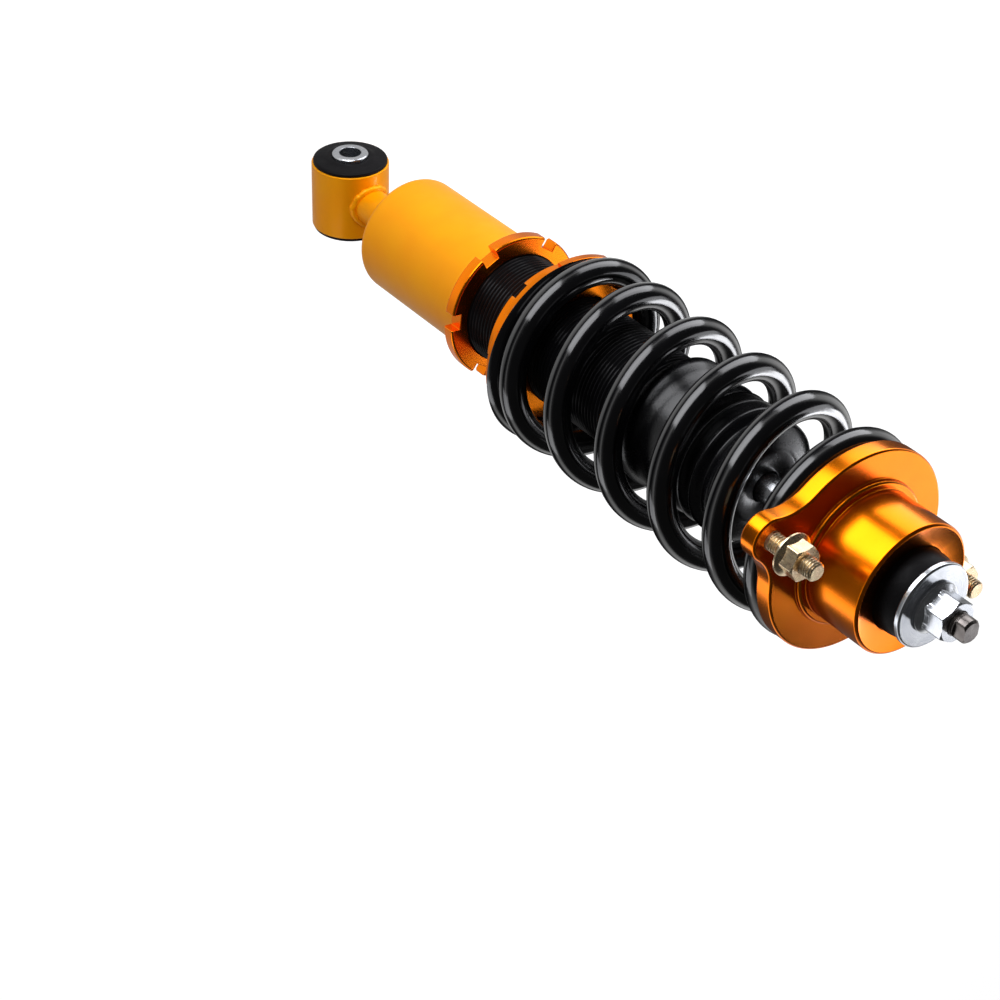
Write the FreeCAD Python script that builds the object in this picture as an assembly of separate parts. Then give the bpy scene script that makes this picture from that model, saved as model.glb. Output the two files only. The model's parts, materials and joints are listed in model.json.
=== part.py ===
import FreeCAD, Part
import math
import os

# Adjustable coilover suspension leg, in millimetres.
# The origin is the centre of the lower eye. +Z runs along the damper axis to the top mount,
# and the bore of the lower eye runs along Y.

# Lower eye and its rubber bush
EYE_SLEEVE_R = 18.05
EYE_SLEEVE_BORE_R = 15.0
EYE_SLEEVE_HALF = 15.8
BUSH_LIP_R = 17.3
BUSH_LIP_HALF = 16.7
BUSH_END_R = 10.2
BUSH_END_HALF = 18.7
CRUSH_TUBE_R = 8.45
CRUSH_TUBE_BORE_R = 5.1
CRUSH_TUBE_HALF = 20.35
CRUSH_TUBE_CHAMFER = 0.6
RUNNING_GAP = 0.05

# Stem and its weld
STEM_R = 8.4
STEM_FLARE_BEND = 0.3
STEM_FLARE_R = 14.0
STEM_FLARE_HEIGHT = 5.6
WELD_FOOT_R = 12.0
WELD_TOP_R = 8.9
WELD_TOP_Z = 22.0

# Lower housing, a cup with an inside thread
HOUSING_R = 27.5
HOUSING_BORE_R = 25.3
HOUSING_BOTTOM_Z = 47.3
HOUSING_TOP_Z = 121.9
HOUSING_FLOOR = 6.0
HOUSING_EDGE_RADIUS = 4.5
HOUSING_MOUTH_CHAMFER = 0.5
VENT_R = 2.5
VENT_PLACE_R = 17.0

# Lock rings, one on the housing and one under the spring seat
RING_R = 33.4
RING_BORE_R = 25.3
RING_THICK = 6.5
RING_CHAMFER = 0.8
RING_NOTCHES = 6
RING_NOTCH_WIDE = 7.3
RING_NOTCH_DEEP = 4.4
HOUSING_RING_Z = 122.3
HOUSING_RING_TURN = 115.5
SEAT_RING_Z = 153.7
SEAT_RING_TURN = 123.7

# Spring seat, a flange with blind rim pockets, a collar below and a centring lip above
SEAT_R = 41.5
SEAT_FLANGE_Z = 164.0
SEAT_FACE_Z = 168.1
SEAT_COLLAR_R = 33.0
SEAT_COLLAR_Z = 160.5
SEAT_LIP_R = 31.8
SEAT_LIP_Z = 172.0
SEAT_POCKETS = 8
SEAT_POCKET_WIDE = 7.3
SEAT_POCKET_DEEP = 4.3
SEAT_POCKET_ROOF = 0.9
SEAT_POCKET_TURN = 148.0
SEAT_CHAMFER = 0.5

# Damper body, the threaded tube and what closes it
TUBE_R = 25.0
TUBE_THREAD_PITCH = 2.0
TUBE_THREAD_DEEP = 1.1
TUBE_THREAD_CREST = 0.3
TUBE_THREAD_BOTTOM_Z = 88.0
TUBE_THREAD_TOP_Z = 238.0
TUBE_BORE_R = 22.5
TUBE_BOTTOM_Z = 59.0
TUBE_TOP_Z = 240.0
BASE_CAP_TOP_Z = 66.0
GLAND_BOTTOM_Z = 235.0
GLAND_TOP_Z = 243.0
GLAND_BORE_R = 8.0
SEAL_CASE_TOP_Z = 233.8
SEAL_LIP_TOP_Z = 236.5
SEAL_LIP_FOOT_R = 7.6
SEAL_LIP_TOP_R = 7.2
PIN_HOLE_R = 1.6
PIN_HOLE_PLACE_R = 16.5
PIN_HOLE_DEEP = 3.0
THREAD_FIT = 0.05
SIDE_GAP = 0.3

# Inner parts of the damper
INNER_TUBE_R = 17.5
INNER_TUBE_BORE_R = 16.0
INNER_TUBE_BOTTOM_Z = 71.0
GUIDE_BOTTOM_Z = 222.0
GUIDE_TOP_Z = 230.0
BASE_VALVE_BOTTOM_Z = 66.3
BASE_VALVE_TOP_Z = 75.0
BASE_VALVE_PORT_R = 1.8
BASE_VALVE_PORT_PLACE_R = 10.0
PORT_COUNT = 6

# Rod, piston and valve
ROD_R = 6.25
ROD_TAIL_R = 4.0
ROD_TAIL_Z = 176.0
ROD_SHOULDER_Z = 202.3
ROD_NECK_Z = 326.0
ROD_NECK_R = 4.95
ROD_TOP_Z = 404.0
ROD_TIP_CHAMFER = 1.0
ROD_FLAT_HALF = 3.6
ROD_FLAT_HIGH = 5.0
PISTON_R = 15.92
PISTON_BOTTOM_Z = 186.0
PISTON_TOP_Z = 200.0
PISTON_PORT_R = 1.5
PISTON_PORT_PLACE_R = 10.0
BAND_R = 15.97
BAND_GROOVE_R = 15.0
BAND_BOTTOM_Z = 190.0
BAND_TOP_Z = 196.0
SHIM_THICK = 0.6
SHIM_RADII = (12.5, 10.5, 8.0)
PISTON_NUT_FLATS = 13.0
PISTON_NUT_BOTTOM_Z = 177.0
PISTON_NUT_TOP_Z = 183.8
STOP_R = 10.0
STOP_TOP_Z = 221.6

# Dust boot and bump stop, loose on the rod
BOOT_WALL = 1.5
BOOT_LIP_Z = 237.0
BOOT_LIP_R = 29.0
BOOT_SHOULDER_Z = 243.3
BOOT_WAIST_Z = 248.0
BOOT_WAIST_R = 25.5
BOOT_CREST_R = 27.7
BOOT_ROOT_R = 24.0
BOOT_FIRST_ROOT_Z = 254.5
BOOT_PITCH = 7.0
BOOT_FOLDS = 4
BOOT_RIM_Z = 288.0
BOOT_RIM_R = 26.6
BOOT_STEP_R = 16.0
BOOT_STEP_HIGH = 1.0
BOOT_TOP_Z = 293.0
BOOT_TOP_THICK = 3.0
BOOT_HOLE_R = 6.8
BOOT_RIM_SLOPE = 0.6
BUMP_R = 15.0
BUMP_HOLE_R = 6.6
BUMP_BOTTOM_Z = 243.8
BUMP_TOP_Z = 284.0
BUMP_GROOVE_R = 11.8
BUMP_GROOVES = 2
BUMP_NOSE_R = 10.5
BUMP_NOSE_HIGH = 8.0

# Top mount
FLANGE_BOTTOM_Z = 336.0
FLANGE_TOP_Z = 344.0
FLANGE_R = 43.4
FLANGE_CHAMFER = 0.7
EAR_TURN = 152.6
EAR_R = 9.3
EAR_BLEND_R = 22.0
STUD_PLACE_R = 50.5
FOOT_R = 31.0
FOOT_TOP_Z = 346.4
FOOT_CHAMFER = 0.8
HUB_R = 27.9
HUB_TOP_Z = 373.5
HUB_CHAMFER = 1.0
HUB_DISH = 1.6
HUB_BORE_R = 18.0
HUB_RECESS_R = 22.5
WEB_BOTTOM_Z = 352.0
WEB_TOP_Z = 358.0
WEB_HOLE_R = 12.0
COUNTERBORE_R = 7.4
COUNTERBORE_DEEP = 4.5

# Stack on the top of the rod
CUP_R = 16.5
CUP_BOTTOM_Z = 322.0
CUP_TOP_Z = 334.0
CUP_RELIEF_R = 13.0
CUP_RELIEF_DEEP = 1.2
CUP_CHAMFER = 0.8
LOWER_RUBBER_R = 22.2
LOWER_RUBBER_NECK_R = 17.2
LOWER_RUBBER_FLARE = 1.0
LOWER_RUBBER_STEP_Z = 337.4
LOWER_RUBBER_CHAMFER = 1.5
UPPER_RUBBER_R = 17.9
UPPER_RUBBER_EDGE_R = 16.4
UPPER_RUBBER_SHOULDER_Z = 373.1
UPPER_RUBBER_TOP_Z = 382.0
UPPER_RUBBER_DOME = (0.72, 0.62)
SPACER_R = 7.5
SPACER_BORE_R = 5.05
WASHER_R = 17.9
WASHER_TOP_Z = 385.0
WASHER_CHAMFER = 0.6
NUT_FLATS = 16.0
NUT_FLANGE_R = 10.9
NUT_FLANGE_THICK = 2.6
NUT_TOP_Z = 397.0
NUT_CHAMFER = 1.1

# Mounting studs and their nuts
STUD_R = 3.9
STUD_SHANK_R = 4.2
STUD_ENGAGED_R = 3.6
STUD_FREE_END_Z = 361.7
STUD_TOP_Z = 367.5
STUD_CHAMFER = 0.8
STUD_HEAD_R = 6.8
STUD_HEAD_BOTTOM_Z = 336.3
STUD_HEAD_THICK = 4.0
STUD_NUT_FLATS = 13.0
STUD_NUT_FLANGE_R = 8.8
STUD_NUT_FLANGE_THICK = 2.0
STUD_NUT_BOTTOM_Z = 353.4
STUD_NUT_TOP_Z = 361.4
STUD_NUT_CHAMFER = 0.8

# What both sizes of flange nut share
NUT_CROWN_GAP = 0.2
NUT_CROWN_SLOPE = 0.6
NUT_RIM_SHARE = 0.45
NUT_FLANGE_RISE = 0.4

# Coil spring, right-handed, with closed and ground ends
WIRE_R = 5.7
COIL_R = 38.3
SPRING_BOTTOM_Z = 168.15
SPRING_TOP_Z = 335.95
WIRE_START_Z = 163.178
CLOSED_PITCH = 11.6
ACTIVE_PITCH = 32.94
PITCH_STATIONS = (
    (-285.0, CLOSED_PITCH),
    (115.0, CLOSED_PITCH),
    (315.0, ACTIVE_PITCH),
    (1790.0, ACTIVE_PITCH),
    (1870.0, CLOSED_PITCH),
    (2200.0, CLOSED_PITCH),
)
PATH_STEP = 20.0

UP = FreeCAD.Vector(0, 0, 1)
ALONG_EYE = FreeCAD.Vector(0, 1, 0)
CENTRE = FreeCAD.Vector(0, 0, 0)
OVERSHOOT = 1.0


def vector_rz(r, z):
    """A point of a half section, in the XZ plane."""
    return FreeCAD.Vector(r, 0, z)


def turned(outline):
    """A solid of revolution about Z from a closed list of (r, z) corners."""
    corners = [vector_rz(r, z) for r, z in outline]
    wire = Part.makePolygon(corners + [corners[0]])
    return Part.Face(wire).revolve(CENTRE, UP, 360)


def cylinder(r, z_low, z_high, x=0.0, y=0.0):
    """An upright cylinder."""
    return Part.makeCylinder(r, z_high - z_low, FreeCAD.Vector(x, y, z_low), UP)


def pipe(r_out, r_in, z_low, z_high):
    """An upright tube about Z."""
    return turned([(r_in, z_low), (r_out, z_low), (r_out, z_high), (r_in, z_high)])


def eye_cylinder(r, half):
    """A cylinder along the bore of the lower eye, centred on the origin."""
    return Part.makeCylinder(r, 2 * half, FreeCAD.Vector(0, -half, 0), ALONG_EYE)


def eye_turned(outline):
    """A solid of revolution about the eye's bore, from (r, distance along the bore) corners."""
    shape = turned(outline)
    shape.rotate(CENTRE, FreeCAD.Vector(1, 0, 0), -90)
    return shape


def around(place_r, turn, count):
    """The (x, y) places of count features spaced evenly on a circle."""
    places = []
    for i in range(count):
        angle = math.radians(turn + i * 360.0 / count)
        places.append((place_r * math.cos(angle), place_r * math.sin(angle)))
    return places


def hexagon(flats, z_low, z_high):
    """A hexagonal prism about Z, measured across its flats."""
    corner_r = flats / math.sqrt(3)
    corners = [FreeCAD.Vector(x, y, z_low) for x, y in around(corner_r, 0, 6)]
    face = Part.Face(Part.makePolygon(corners + [corners[0]]))
    return face.extrude(UP * (z_high - z_low))


def flange_nut(flats, flange_r, flange_thick, bore_r, z_low, z_high, chamfer):
    """A hexagon nut with a conical flange below and turned corners above."""
    crown_r = flats / math.sqrt(3) + NUT_CROWN_GAP
    crown = turned(
        [
            (0, z_low),
            (crown_r, z_low),
            (crown_r, z_high - NUT_CROWN_SLOPE * chamfer),
            (crown_r - chamfer, z_high),
            (0, z_high),
        ]
    )
    rim = NUT_RIM_SHARE * flange_thick
    cone_top = z_low + flange_thick + NUT_FLANGE_RISE
    flange = turned(
        [
            (0, z_low),
            (flange_r, z_low),
            (flange_r, z_low + rim),
            (flats / 2, cone_top),
            (0, cone_top),
        ]
    )
    body = hexagon(flats, z_low, z_high).common(crown).fuse(flange)
    return body.cut(cylinder(bore_r, z_low - OVERSHOOT, z_high + OVERSHOOT))


def slot_cutter(outer_r, wide, deep, z_low, z_high, turn):
    """A box that cuts a notch of a given width and depth into a round rim."""
    box = Part.makeBox(
        deep + OVERSHOOT,
        wide,
        z_high - z_low,
        FreeCAD.Vector(outer_r - deep, -wide / 2, z_low),
    )
    box.rotate(CENTRE, UP, turn)
    return box


def notched(shape, outer_r, wide, deep, z_low, z_high, turn, count):
    """The shape with count notches around its rim."""
    for i in range(count):
        cutter = slot_cutter(outer_r, wide, deep, z_low, z_high, turn + i * 360.0 / count)
        shape = shape.cut(cutter)
    return shape


def make_eye_sleeve():
    sleeve = eye_cylinder(EYE_SLEEVE_R, EYE_SLEEVE_HALF)
    return sleeve.cut(eye_cylinder(EYE_SLEEVE_BORE_R, EYE_SLEEVE_HALF + OVERSHOOT))


def make_eye_bush_rubber():
    bore = CRUSH_TUBE_R + RUNNING_GAP
    outline = [
        (bore, -BUSH_END_HALF),
        (BUSH_END_R, -BUSH_END_HALF),
        (BUSH_LIP_R, -BUSH_LIP_HALF),
        (BUSH_LIP_R, -EYE_SLEEVE_HALF),
        (EYE_SLEEVE_BORE_R, -EYE_SLEEVE_HALF),
        (EYE_SLEEVE_BORE_R, EYE_SLEEVE_HALF),
        (BUSH_LIP_R, EYE_SLEEVE_HALF),
        (BUSH_LIP_R, BUSH_LIP_HALF),
        (BUSH_END_R, BUSH_END_HALF),
        (bore, BUSH_END_HALF),
    ]
    return eye_turned(outline)


def make_eye_crush_tube():
    edge = CRUSH_TUBE_CHAMFER
    outline = [
        (CRUSH_TUBE_BORE_R, -CRUSH_TUBE_HALF),
        (CRUSH_TUBE_R - edge, -CRUSH_TUBE_HALF),
        (CRUSH_TUBE_R, -CRUSH_TUBE_HALF + edge),
        (CRUSH_TUBE_R, CRUSH_TUBE_HALF - edge),
        (CRUSH_TUBE_R - edge, CRUSH_TUBE_HALF),
        (CRUSH_TUBE_BORE_R, CRUSH_TUBE_HALF),
    ]
    return eye_turned(outline)


def make_eye_stem():
    flare_start = HOUSING_BOTTOM_Z - STEM_FLARE_HEIGHT
    corners = [vector_rz(0, 0), vector_rz(STEM_R, 0), vector_rz(STEM_R, flare_start)]
    end = vector_rz(STEM_FLARE_R, HOUSING_BOTTOM_Z)
    middle = vector_rz(
        STEM_R + STEM_FLARE_BEND * (STEM_FLARE_R - STEM_R),
        flare_start + (1 - STEM_FLARE_BEND) * STEM_FLARE_HEIGHT,
    )
    edges = [
        Part.makeLine(corners[0], corners[1]),
        Part.makeLine(corners[1], corners[2]),
        Part.Arc(corners[2], middle, end).toShape(),
        Part.makeLine(end, vector_rz(0, HOUSING_BOTTOM_Z)),
        Part.makeLine(vector_rz(0, HOUSING_BOTTOM_Z), corners[0]),
    ]
    stem = Part.Face(Part.Wire(edges)).revolve(CENTRE, UP, 360)
    return stem.cut(eye_cylinder(EYE_SLEEVE_R, EYE_SLEEVE_HALF + OVERSHOOT))


def make_eye_weld():
    low = EYE_SLEEVE_R * math.cos(math.asin(WELD_FOOT_R / EYE_SLEEVE_R))
    bead = turned([(0, low), (WELD_FOOT_R, low), (WELD_TOP_R, WELD_TOP_Z), (0, WELD_TOP_Z)])
    bead = bead.cut(eye_cylinder(EYE_SLEEVE_R, EYE_SLEEVE_HALF + OVERSHOOT))
    return bead.cut(cylinder(STEM_R, 0, WELD_TOP_Z + OVERSHOOT))


def make_lower_housing():
    """The cup: a round-edged bottom, a threaded bore and one vent hole in the bottom."""
    r = HOUSING_EDGE_RADIUS
    corner = 1 - math.sqrt(0.5)
    floor_z = HOUSING_BOTTOM_Z + HOUSING_FLOOR
    lip = HOUSING_MOUTH_CHAMFER
    start = vector_rz(HOUSING_R - r, HOUSING_BOTTOM_Z)
    middle = vector_rz(HOUSING_R - corner * r, HOUSING_BOTTOM_Z + corner * r)
    end = vector_rz(HOUSING_R, HOUSING_BOTTOM_Z + r)
    rest = [
        end,
        vector_rz(HOUSING_R, HOUSING_TOP_Z - lip),
        vector_rz(HOUSING_R - lip, HOUSING_TOP_Z),
        vector_rz(HOUSING_BORE_R, HOUSING_TOP_Z),
        vector_rz(HOUSING_BORE_R, floor_z),
        vector_rz(0, floor_z),
        vector_rz(0, HOUSING_BOTTOM_Z),
        start,
    ]
    edges = [Part.Arc(start, middle, end).toShape()]
    for first, second in zip(rest, rest[1:]):
        edges.append(Part.makeLine(first, second))
    cup = Part.Face(Part.Wire(edges)).revolve(CENTRE, UP, 360)
    vent = cylinder(VENT_R, HOUSING_BOTTOM_Z - OVERSHOOT, floor_z + OVERSHOOT, 0, VENT_PLACE_R)
    return cup.cut(vent)


def make_lock_ring(z_low, turn):
    """A ring nut with bevelled edges and hook-spanner notches."""
    z_high = z_low + RING_THICK
    edge = RING_CHAMFER
    ring = turned(
        [
            (RING_BORE_R, z_low),
            (RING_R - edge, z_low),
            (RING_R, z_low + edge),
            (RING_R, z_high - edge),
            (RING_R - edge, z_high),
            (RING_BORE_R, z_high),
        ]
    )
    low, high = z_low - OVERSHOOT, z_high + OVERSHOOT
    return notched(ring, RING_R, RING_NOTCH_WIDE, RING_NOTCH_DEEP, low, high, turn, RING_NOTCHES)


def make_spring_seat():
    edge = SEAT_CHAMFER
    seat = turned(
        [
            (RING_BORE_R, SEAT_COLLAR_Z),
            (SEAT_COLLAR_R, SEAT_COLLAR_Z),
            (SEAT_COLLAR_R, SEAT_FLANGE_Z),
            (SEAT_R - edge, SEAT_FLANGE_Z),
            (SEAT_R, SEAT_FLANGE_Z + edge),
            (SEAT_R, SEAT_FACE_Z - edge),
            (SEAT_R - edge, SEAT_FACE_Z),
            (SEAT_LIP_R, SEAT_FACE_Z),
            (SEAT_LIP_R, SEAT_LIP_Z - edge),
            (SEAT_LIP_R - edge, SEAT_LIP_Z),
            (RING_BORE_R, SEAT_LIP_Z),
        ]
    )
    low, high = SEAT_FLANGE_Z - OVERSHOOT, SEAT_FACE_Z - SEAT_POCKET_ROOF
    wide, deep = SEAT_POCKET_WIDE, SEAT_POCKET_DEEP
    return notched(seat, SEAT_R, wide, deep, low, high, SEAT_POCKET_TURN, SEAT_POCKETS)


def make_damper_tube():
    """The damper's outer tube, its outside cut with V grooves at the pitch of the body thread."""
    outline = [(TUBE_BORE_R, TUBE_BOTTOM_Z), (TUBE_R, TUBE_BOTTOM_Z)]
    grooves = round((TUBE_THREAD_TOP_Z - TUBE_THREAD_BOTTOM_Z) / TUBE_THREAD_PITCH)
    for count in range(grooves):
        low = TUBE_THREAD_BOTTOM_Z + count * TUBE_THREAD_PITCH
        root = low + (TUBE_THREAD_PITCH - TUBE_THREAD_CREST) / 2
        outline += [
            (TUBE_R, low),
            (TUBE_R - TUBE_THREAD_DEEP, root),
            (TUBE_R, low + TUBE_THREAD_PITCH - TUBE_THREAD_CREST),
        ]
    outline += [(TUBE_R, TUBE_TOP_Z), (TUBE_BORE_R, TUBE_TOP_Z)]
    return turned(outline)


def make_damper_base_cap():
    """A plug in the bottom of the damper body."""
    plug_r = TUBE_BORE_R - THREAD_FIT
    return cylinder(plug_r, TUBE_BOTTOM_Z, BASE_CAP_TOP_Z)


def make_gland_nut():
    """The nut that closes the top of the damper body, with blind holes for a pin spanner."""
    plug_r = TUBE_BORE_R - THREAD_FIT
    nut = turned(
        [
            (GLAND_BORE_R, GLAND_BOTTOM_Z),
            (plug_r, GLAND_BOTTOM_Z),
            (plug_r, TUBE_TOP_Z),
            (TUBE_R, TUBE_TOP_Z),
            (TUBE_R, GLAND_TOP_Z - HOUSING_MOUTH_CHAMFER),
            (TUBE_R - HOUSING_MOUTH_CHAMFER, GLAND_TOP_Z),
            (GLAND_BORE_R, GLAND_TOP_Z),
        ]
    )
    for x, y in around(PIN_HOLE_PLACE_R, 0, 4):
        hole = cylinder(PIN_HOLE_R, GLAND_TOP_Z - PIN_HOLE_DEEP, GLAND_TOP_Z + OVERSHOOT, x, y)
        nut = nut.cut(hole)
    return nut


def make_rod_guide():
    return pipe(TUBE_BORE_R - SIDE_GAP, ROD_R + RUNNING_GAP, GUIDE_BOTTOM_Z, GUIDE_TOP_Z)


def make_oil_seal():
    """A lipped ring: its case fills the body and a raised lip runs on the rod."""
    bore = ROD_R + RUNNING_GAP
    return turned(
        [
            (bore, GUIDE_TOP_Z),
            (TUBE_BORE_R - SIDE_GAP, GUIDE_TOP_Z),
            (TUBE_BORE_R - SIDE_GAP, SEAL_CASE_TOP_Z),
            (SEAL_LIP_FOOT_R, SEAL_CASE_TOP_Z),
            (SEAL_LIP_TOP_R, SEAL_LIP_TOP_Z),
            (bore, SEAL_LIP_TOP_Z),
        ]
    )


def make_base_valve():
    """A foot valve: a flange under the inner tube, a spigot inside it and a ring of ports."""
    valve = turned(
        [
            (0, BASE_VALVE_BOTTOM_Z),
            (INNER_TUBE_R, BASE_VALVE_BOTTOM_Z),
            (INNER_TUBE_R, INNER_TUBE_BOTTOM_Z),
            (INNER_TUBE_BORE_R - THREAD_FIT, INNER_TUBE_BOTTOM_Z),
            (INNER_TUBE_BORE_R - THREAD_FIT, BASE_VALVE_TOP_Z),
            (0, BASE_VALVE_TOP_Z),
        ]
    )
    low, high = BASE_VALVE_BOTTOM_Z - OVERSHOOT, BASE_VALVE_TOP_Z + OVERSHOOT
    for x, y in around(BASE_VALVE_PORT_PLACE_R, 0, PORT_COUNT):
        valve = valve.cut(cylinder(BASE_VALVE_PORT_R, low, high, x, y))
    return valve


def make_piston():
    """A piston with a groove for its band and two rings of ports."""
    piston = turned(
        [
            (ROD_TAIL_R + RUNNING_GAP, PISTON_BOTTOM_Z),
            (PISTON_R, PISTON_BOTTOM_Z),
            (PISTON_R, BAND_BOTTOM_Z),
            (BAND_GROOVE_R, BAND_BOTTOM_Z),
            (BAND_GROOVE_R, BAND_TOP_Z),
            (PISTON_R, BAND_TOP_Z),
            (PISTON_R, PISTON_TOP_Z),
            (ROD_TAIL_R + RUNNING_GAP, PISTON_TOP_Z),
        ]
    )
    low, high = PISTON_BOTTOM_Z - OVERSHOOT, PISTON_TOP_Z + OVERSHOOT
    for x, y in around(PISTON_PORT_PLACE_R, 0, PORT_COUNT):
        piston = piston.cut(cylinder(PISTON_PORT_R, low, high, x, y))
    return piston


def make_valve_shims():
    """Thin steel discs stacked on both faces of the piston, smaller towards the ends."""
    bore = ROD_TAIL_R + RUNNING_GAP
    shims = []
    for i, r in enumerate(SHIM_RADII):
        above = PISTON_TOP_Z + i * SHIM_THICK
        below = PISTON_BOTTOM_Z - i * SHIM_THICK
        shims.append(pipe(r, bore, above, above + SHIM_THICK))
        shims.append(pipe(r, bore, below - SHIM_THICK, below))
    return Part.makeCompound(shims)


def make_piston_nut():
    nut = hexagon(PISTON_NUT_FLATS, PISTON_NUT_BOTTOM_Z, PISTON_NUT_TOP_Z)
    low, high = PISTON_NUT_BOTTOM_Z - OVERSHOOT, PISTON_NUT_TOP_Z + OVERSHOOT
    return nut.cut(cylinder(ROD_TAIL_R, low, high))


def make_piston_rod():
    """The rod: a thin tail for the piston, the chromed run, and the threaded neck at the top."""
    tip = ROD_TIP_CHAMFER
    rod = turned(
        [
            (0, ROD_TAIL_Z),
            (ROD_TAIL_R, ROD_TAIL_Z),
            (ROD_TAIL_R, ROD_SHOULDER_Z),
            (ROD_R, ROD_SHOULDER_Z),
            (ROD_R, ROD_NECK_Z),
            (ROD_NECK_R, ROD_NECK_Z),
            (ROD_NECK_R, ROD_TOP_Z - tip),
            (ROD_NECK_R - tip, ROD_TOP_Z),
            (0, ROD_TOP_Z),
        ]
    )
    for side in (-1, 1):
        flat = Part.makeBox(
            2 * ROD_NECK_R,
            2 * ROD_NECK_R,
            ROD_FLAT_HIGH + OVERSHOOT,
            FreeCAD.Vector(
                side * (ROD_FLAT_HALF + ROD_NECK_R) - ROD_NECK_R,
                -ROD_NECK_R,
                ROD_TOP_Z - ROD_FLAT_HIGH,
            ),
        )
        rod = rod.cut(flat)
    return rod


def boot_wave(offset):
    """The bellows line of the boot from its waist to its rim, moved inwards by offset."""
    points = [vector_rz(BOOT_WAIST_R - offset, BOOT_WAIST_Z)]
    for i in range(BOOT_FOLDS + 1):
        root_z = BOOT_FIRST_ROOT_Z + i * BOOT_PITCH
        points.append(vector_rz(BOOT_ROOT_R - offset, root_z))
        if i < BOOT_FOLDS:
            points.append(vector_rz(BOOT_CREST_R - offset, root_z + BOOT_PITCH / 2))
    points.append(vector_rz(BOOT_RIM_R - offset, BOOT_RIM_Z - offset * BOOT_RIM_SLOPE))
    curve = Part.BSplineCurve()
    curve.interpolate(points)
    return curve.toShape(), points[0], points[-1]


def make_dust_boot():
    """A bellows with a bell mouth over the damper body and a dished top round the rod."""
    outer, outer_low, outer_high = boot_wave(0)
    inner, inner_low, inner_high = boot_wave(BOOT_WALL)
    shoulder_r = TUBE_R + 2 * SIDE_GAP
    down_inside = [
        inner_low,
        vector_rz(inner_low.x, BOOT_SHOULDER_Z),
        vector_rz(shoulder_r, BOOT_SHOULDER_Z),
        vector_rz(BOOT_LIP_R - BOOT_WALL, BOOT_LIP_Z),
        vector_rz(BOOT_LIP_R, BOOT_LIP_Z),
        outer_low,
    ]
    over_top = [
        outer_high,
        vector_rz(BOOT_STEP_R, BOOT_TOP_Z - BOOT_STEP_HIGH),
        vector_rz(BOOT_STEP_R, BOOT_TOP_Z),
        vector_rz(BOOT_HOLE_R, BOOT_TOP_Z),
        vector_rz(BOOT_HOLE_R, BOOT_TOP_Z - BOOT_TOP_THICK),
        vector_rz(BOOT_STEP_R - BOOT_WALL, BOOT_TOP_Z - BOOT_TOP_THICK),
        inner_high,
    ]
    edges = [outer, inner]
    for run in (down_inside, over_top):
        for first, second in zip(run, run[1:]):
            edges.append(Part.makeLine(first, second))
    wire = Part.Wire(Part.__sortEdges__(edges))
    return Part.Face(wire).revolve(CENTRE, UP, 360)


def make_bump_stop():
    """A foam buffer with round grooves and a narrower nose."""
    body = pipe(BUMP_R, BUMP_HOLE_R, BUMP_BOTTOM_Z, BUMP_TOP_Z)
    high = BUMP_TOP_Z - BUMP_BOTTOM_Z
    spacing = high / (BUMP_GROOVES + 1)
    for i in range(BUMP_GROOVES):
        z = BUMP_BOTTOM_Z + (i + 1) * spacing
        depth = BUMP_R - BUMP_GROOVE_R
        body = body.cut(Part.makeTorus(BUMP_R, depth, FreeCAD.Vector(0, 0, z), UP))
    nose = turned(
        [
            (BUMP_NOSE_R, BUMP_TOP_Z + OVERSHOOT),
            (BUMP_R + OVERSHOOT, BUMP_TOP_Z + OVERSHOOT),
            (BUMP_R + OVERSHOOT, BUMP_TOP_Z - BUMP_NOSE_HIGH),
            (BUMP_R, BUMP_TOP_Z - BUMP_NOSE_HIGH),
            (BUMP_NOSE_R, BUMP_TOP_Z),
        ]
    )
    return body.cut(nose)


def ear_outline():
    """The flange's outline: a circle with two ears, blended by hollow arcs, ears along X."""
    reach_main = FLANGE_R + EAR_BLEND_R
    reach_ear = EAR_R + EAR_BLEND_R
    along = (reach_main**2 - reach_ear**2 + STUD_PLACE_R**2) / (2 * STUD_PLACE_R)
    across = math.sqrt(reach_main**2 - along**2)
    blend_angle = math.atan2(across, along)
    ear_angle = math.atan2(across, along - STUD_PLACE_R)

    def polar(r, angle, x=0.0, y=0.0):
        return FreeCAD.Vector(x + r * math.cos(angle), y + r * math.sin(angle), FLANGE_BOTTOM_Z)

    middle_angle = (blend_angle + ear_angle) / 2 + math.pi
    on_main = polar(FLANGE_R, blend_angle)
    on_ear = polar(EAR_R, ear_angle, STUD_PLACE_R)
    on_blend = polar(EAR_BLEND_R, middle_angle, along, across)
    tip = polar(STUD_PLACE_R + EAR_R, 0)
    side = polar(FLANGE_R, math.pi / 2)

    def mirrored(point, flip_x, flip_y):
        return FreeCAD.Vector(
            -point.x if flip_x else point.x, -point.y if flip_y else point.y, point.z
        )

    edges = []
    for flip_x in (False, True):
        for flip_y in (False, True):
            blend = [mirrored(p, flip_x, flip_y) for p in (on_main, on_blend, on_ear)]
            edges.append(Part.Arc(*blend).toShape())
        ends = [mirrored(p, flip_x, False) for p in (on_ear, tip)]
        edges.append(Part.Arc(ends[0], ends[1], mirrored(on_ear, flip_x, True)).toShape())
    for flip_y in (False, True):
        arc = [mirrored(p, False, flip_y) for p in (on_main, side)]
        edges.append(Part.Arc(arc[0], arc[1], mirrored(on_main, True, flip_y)).toShape())
    return Part.Wire(Part.__sortEdges__(edges))


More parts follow.
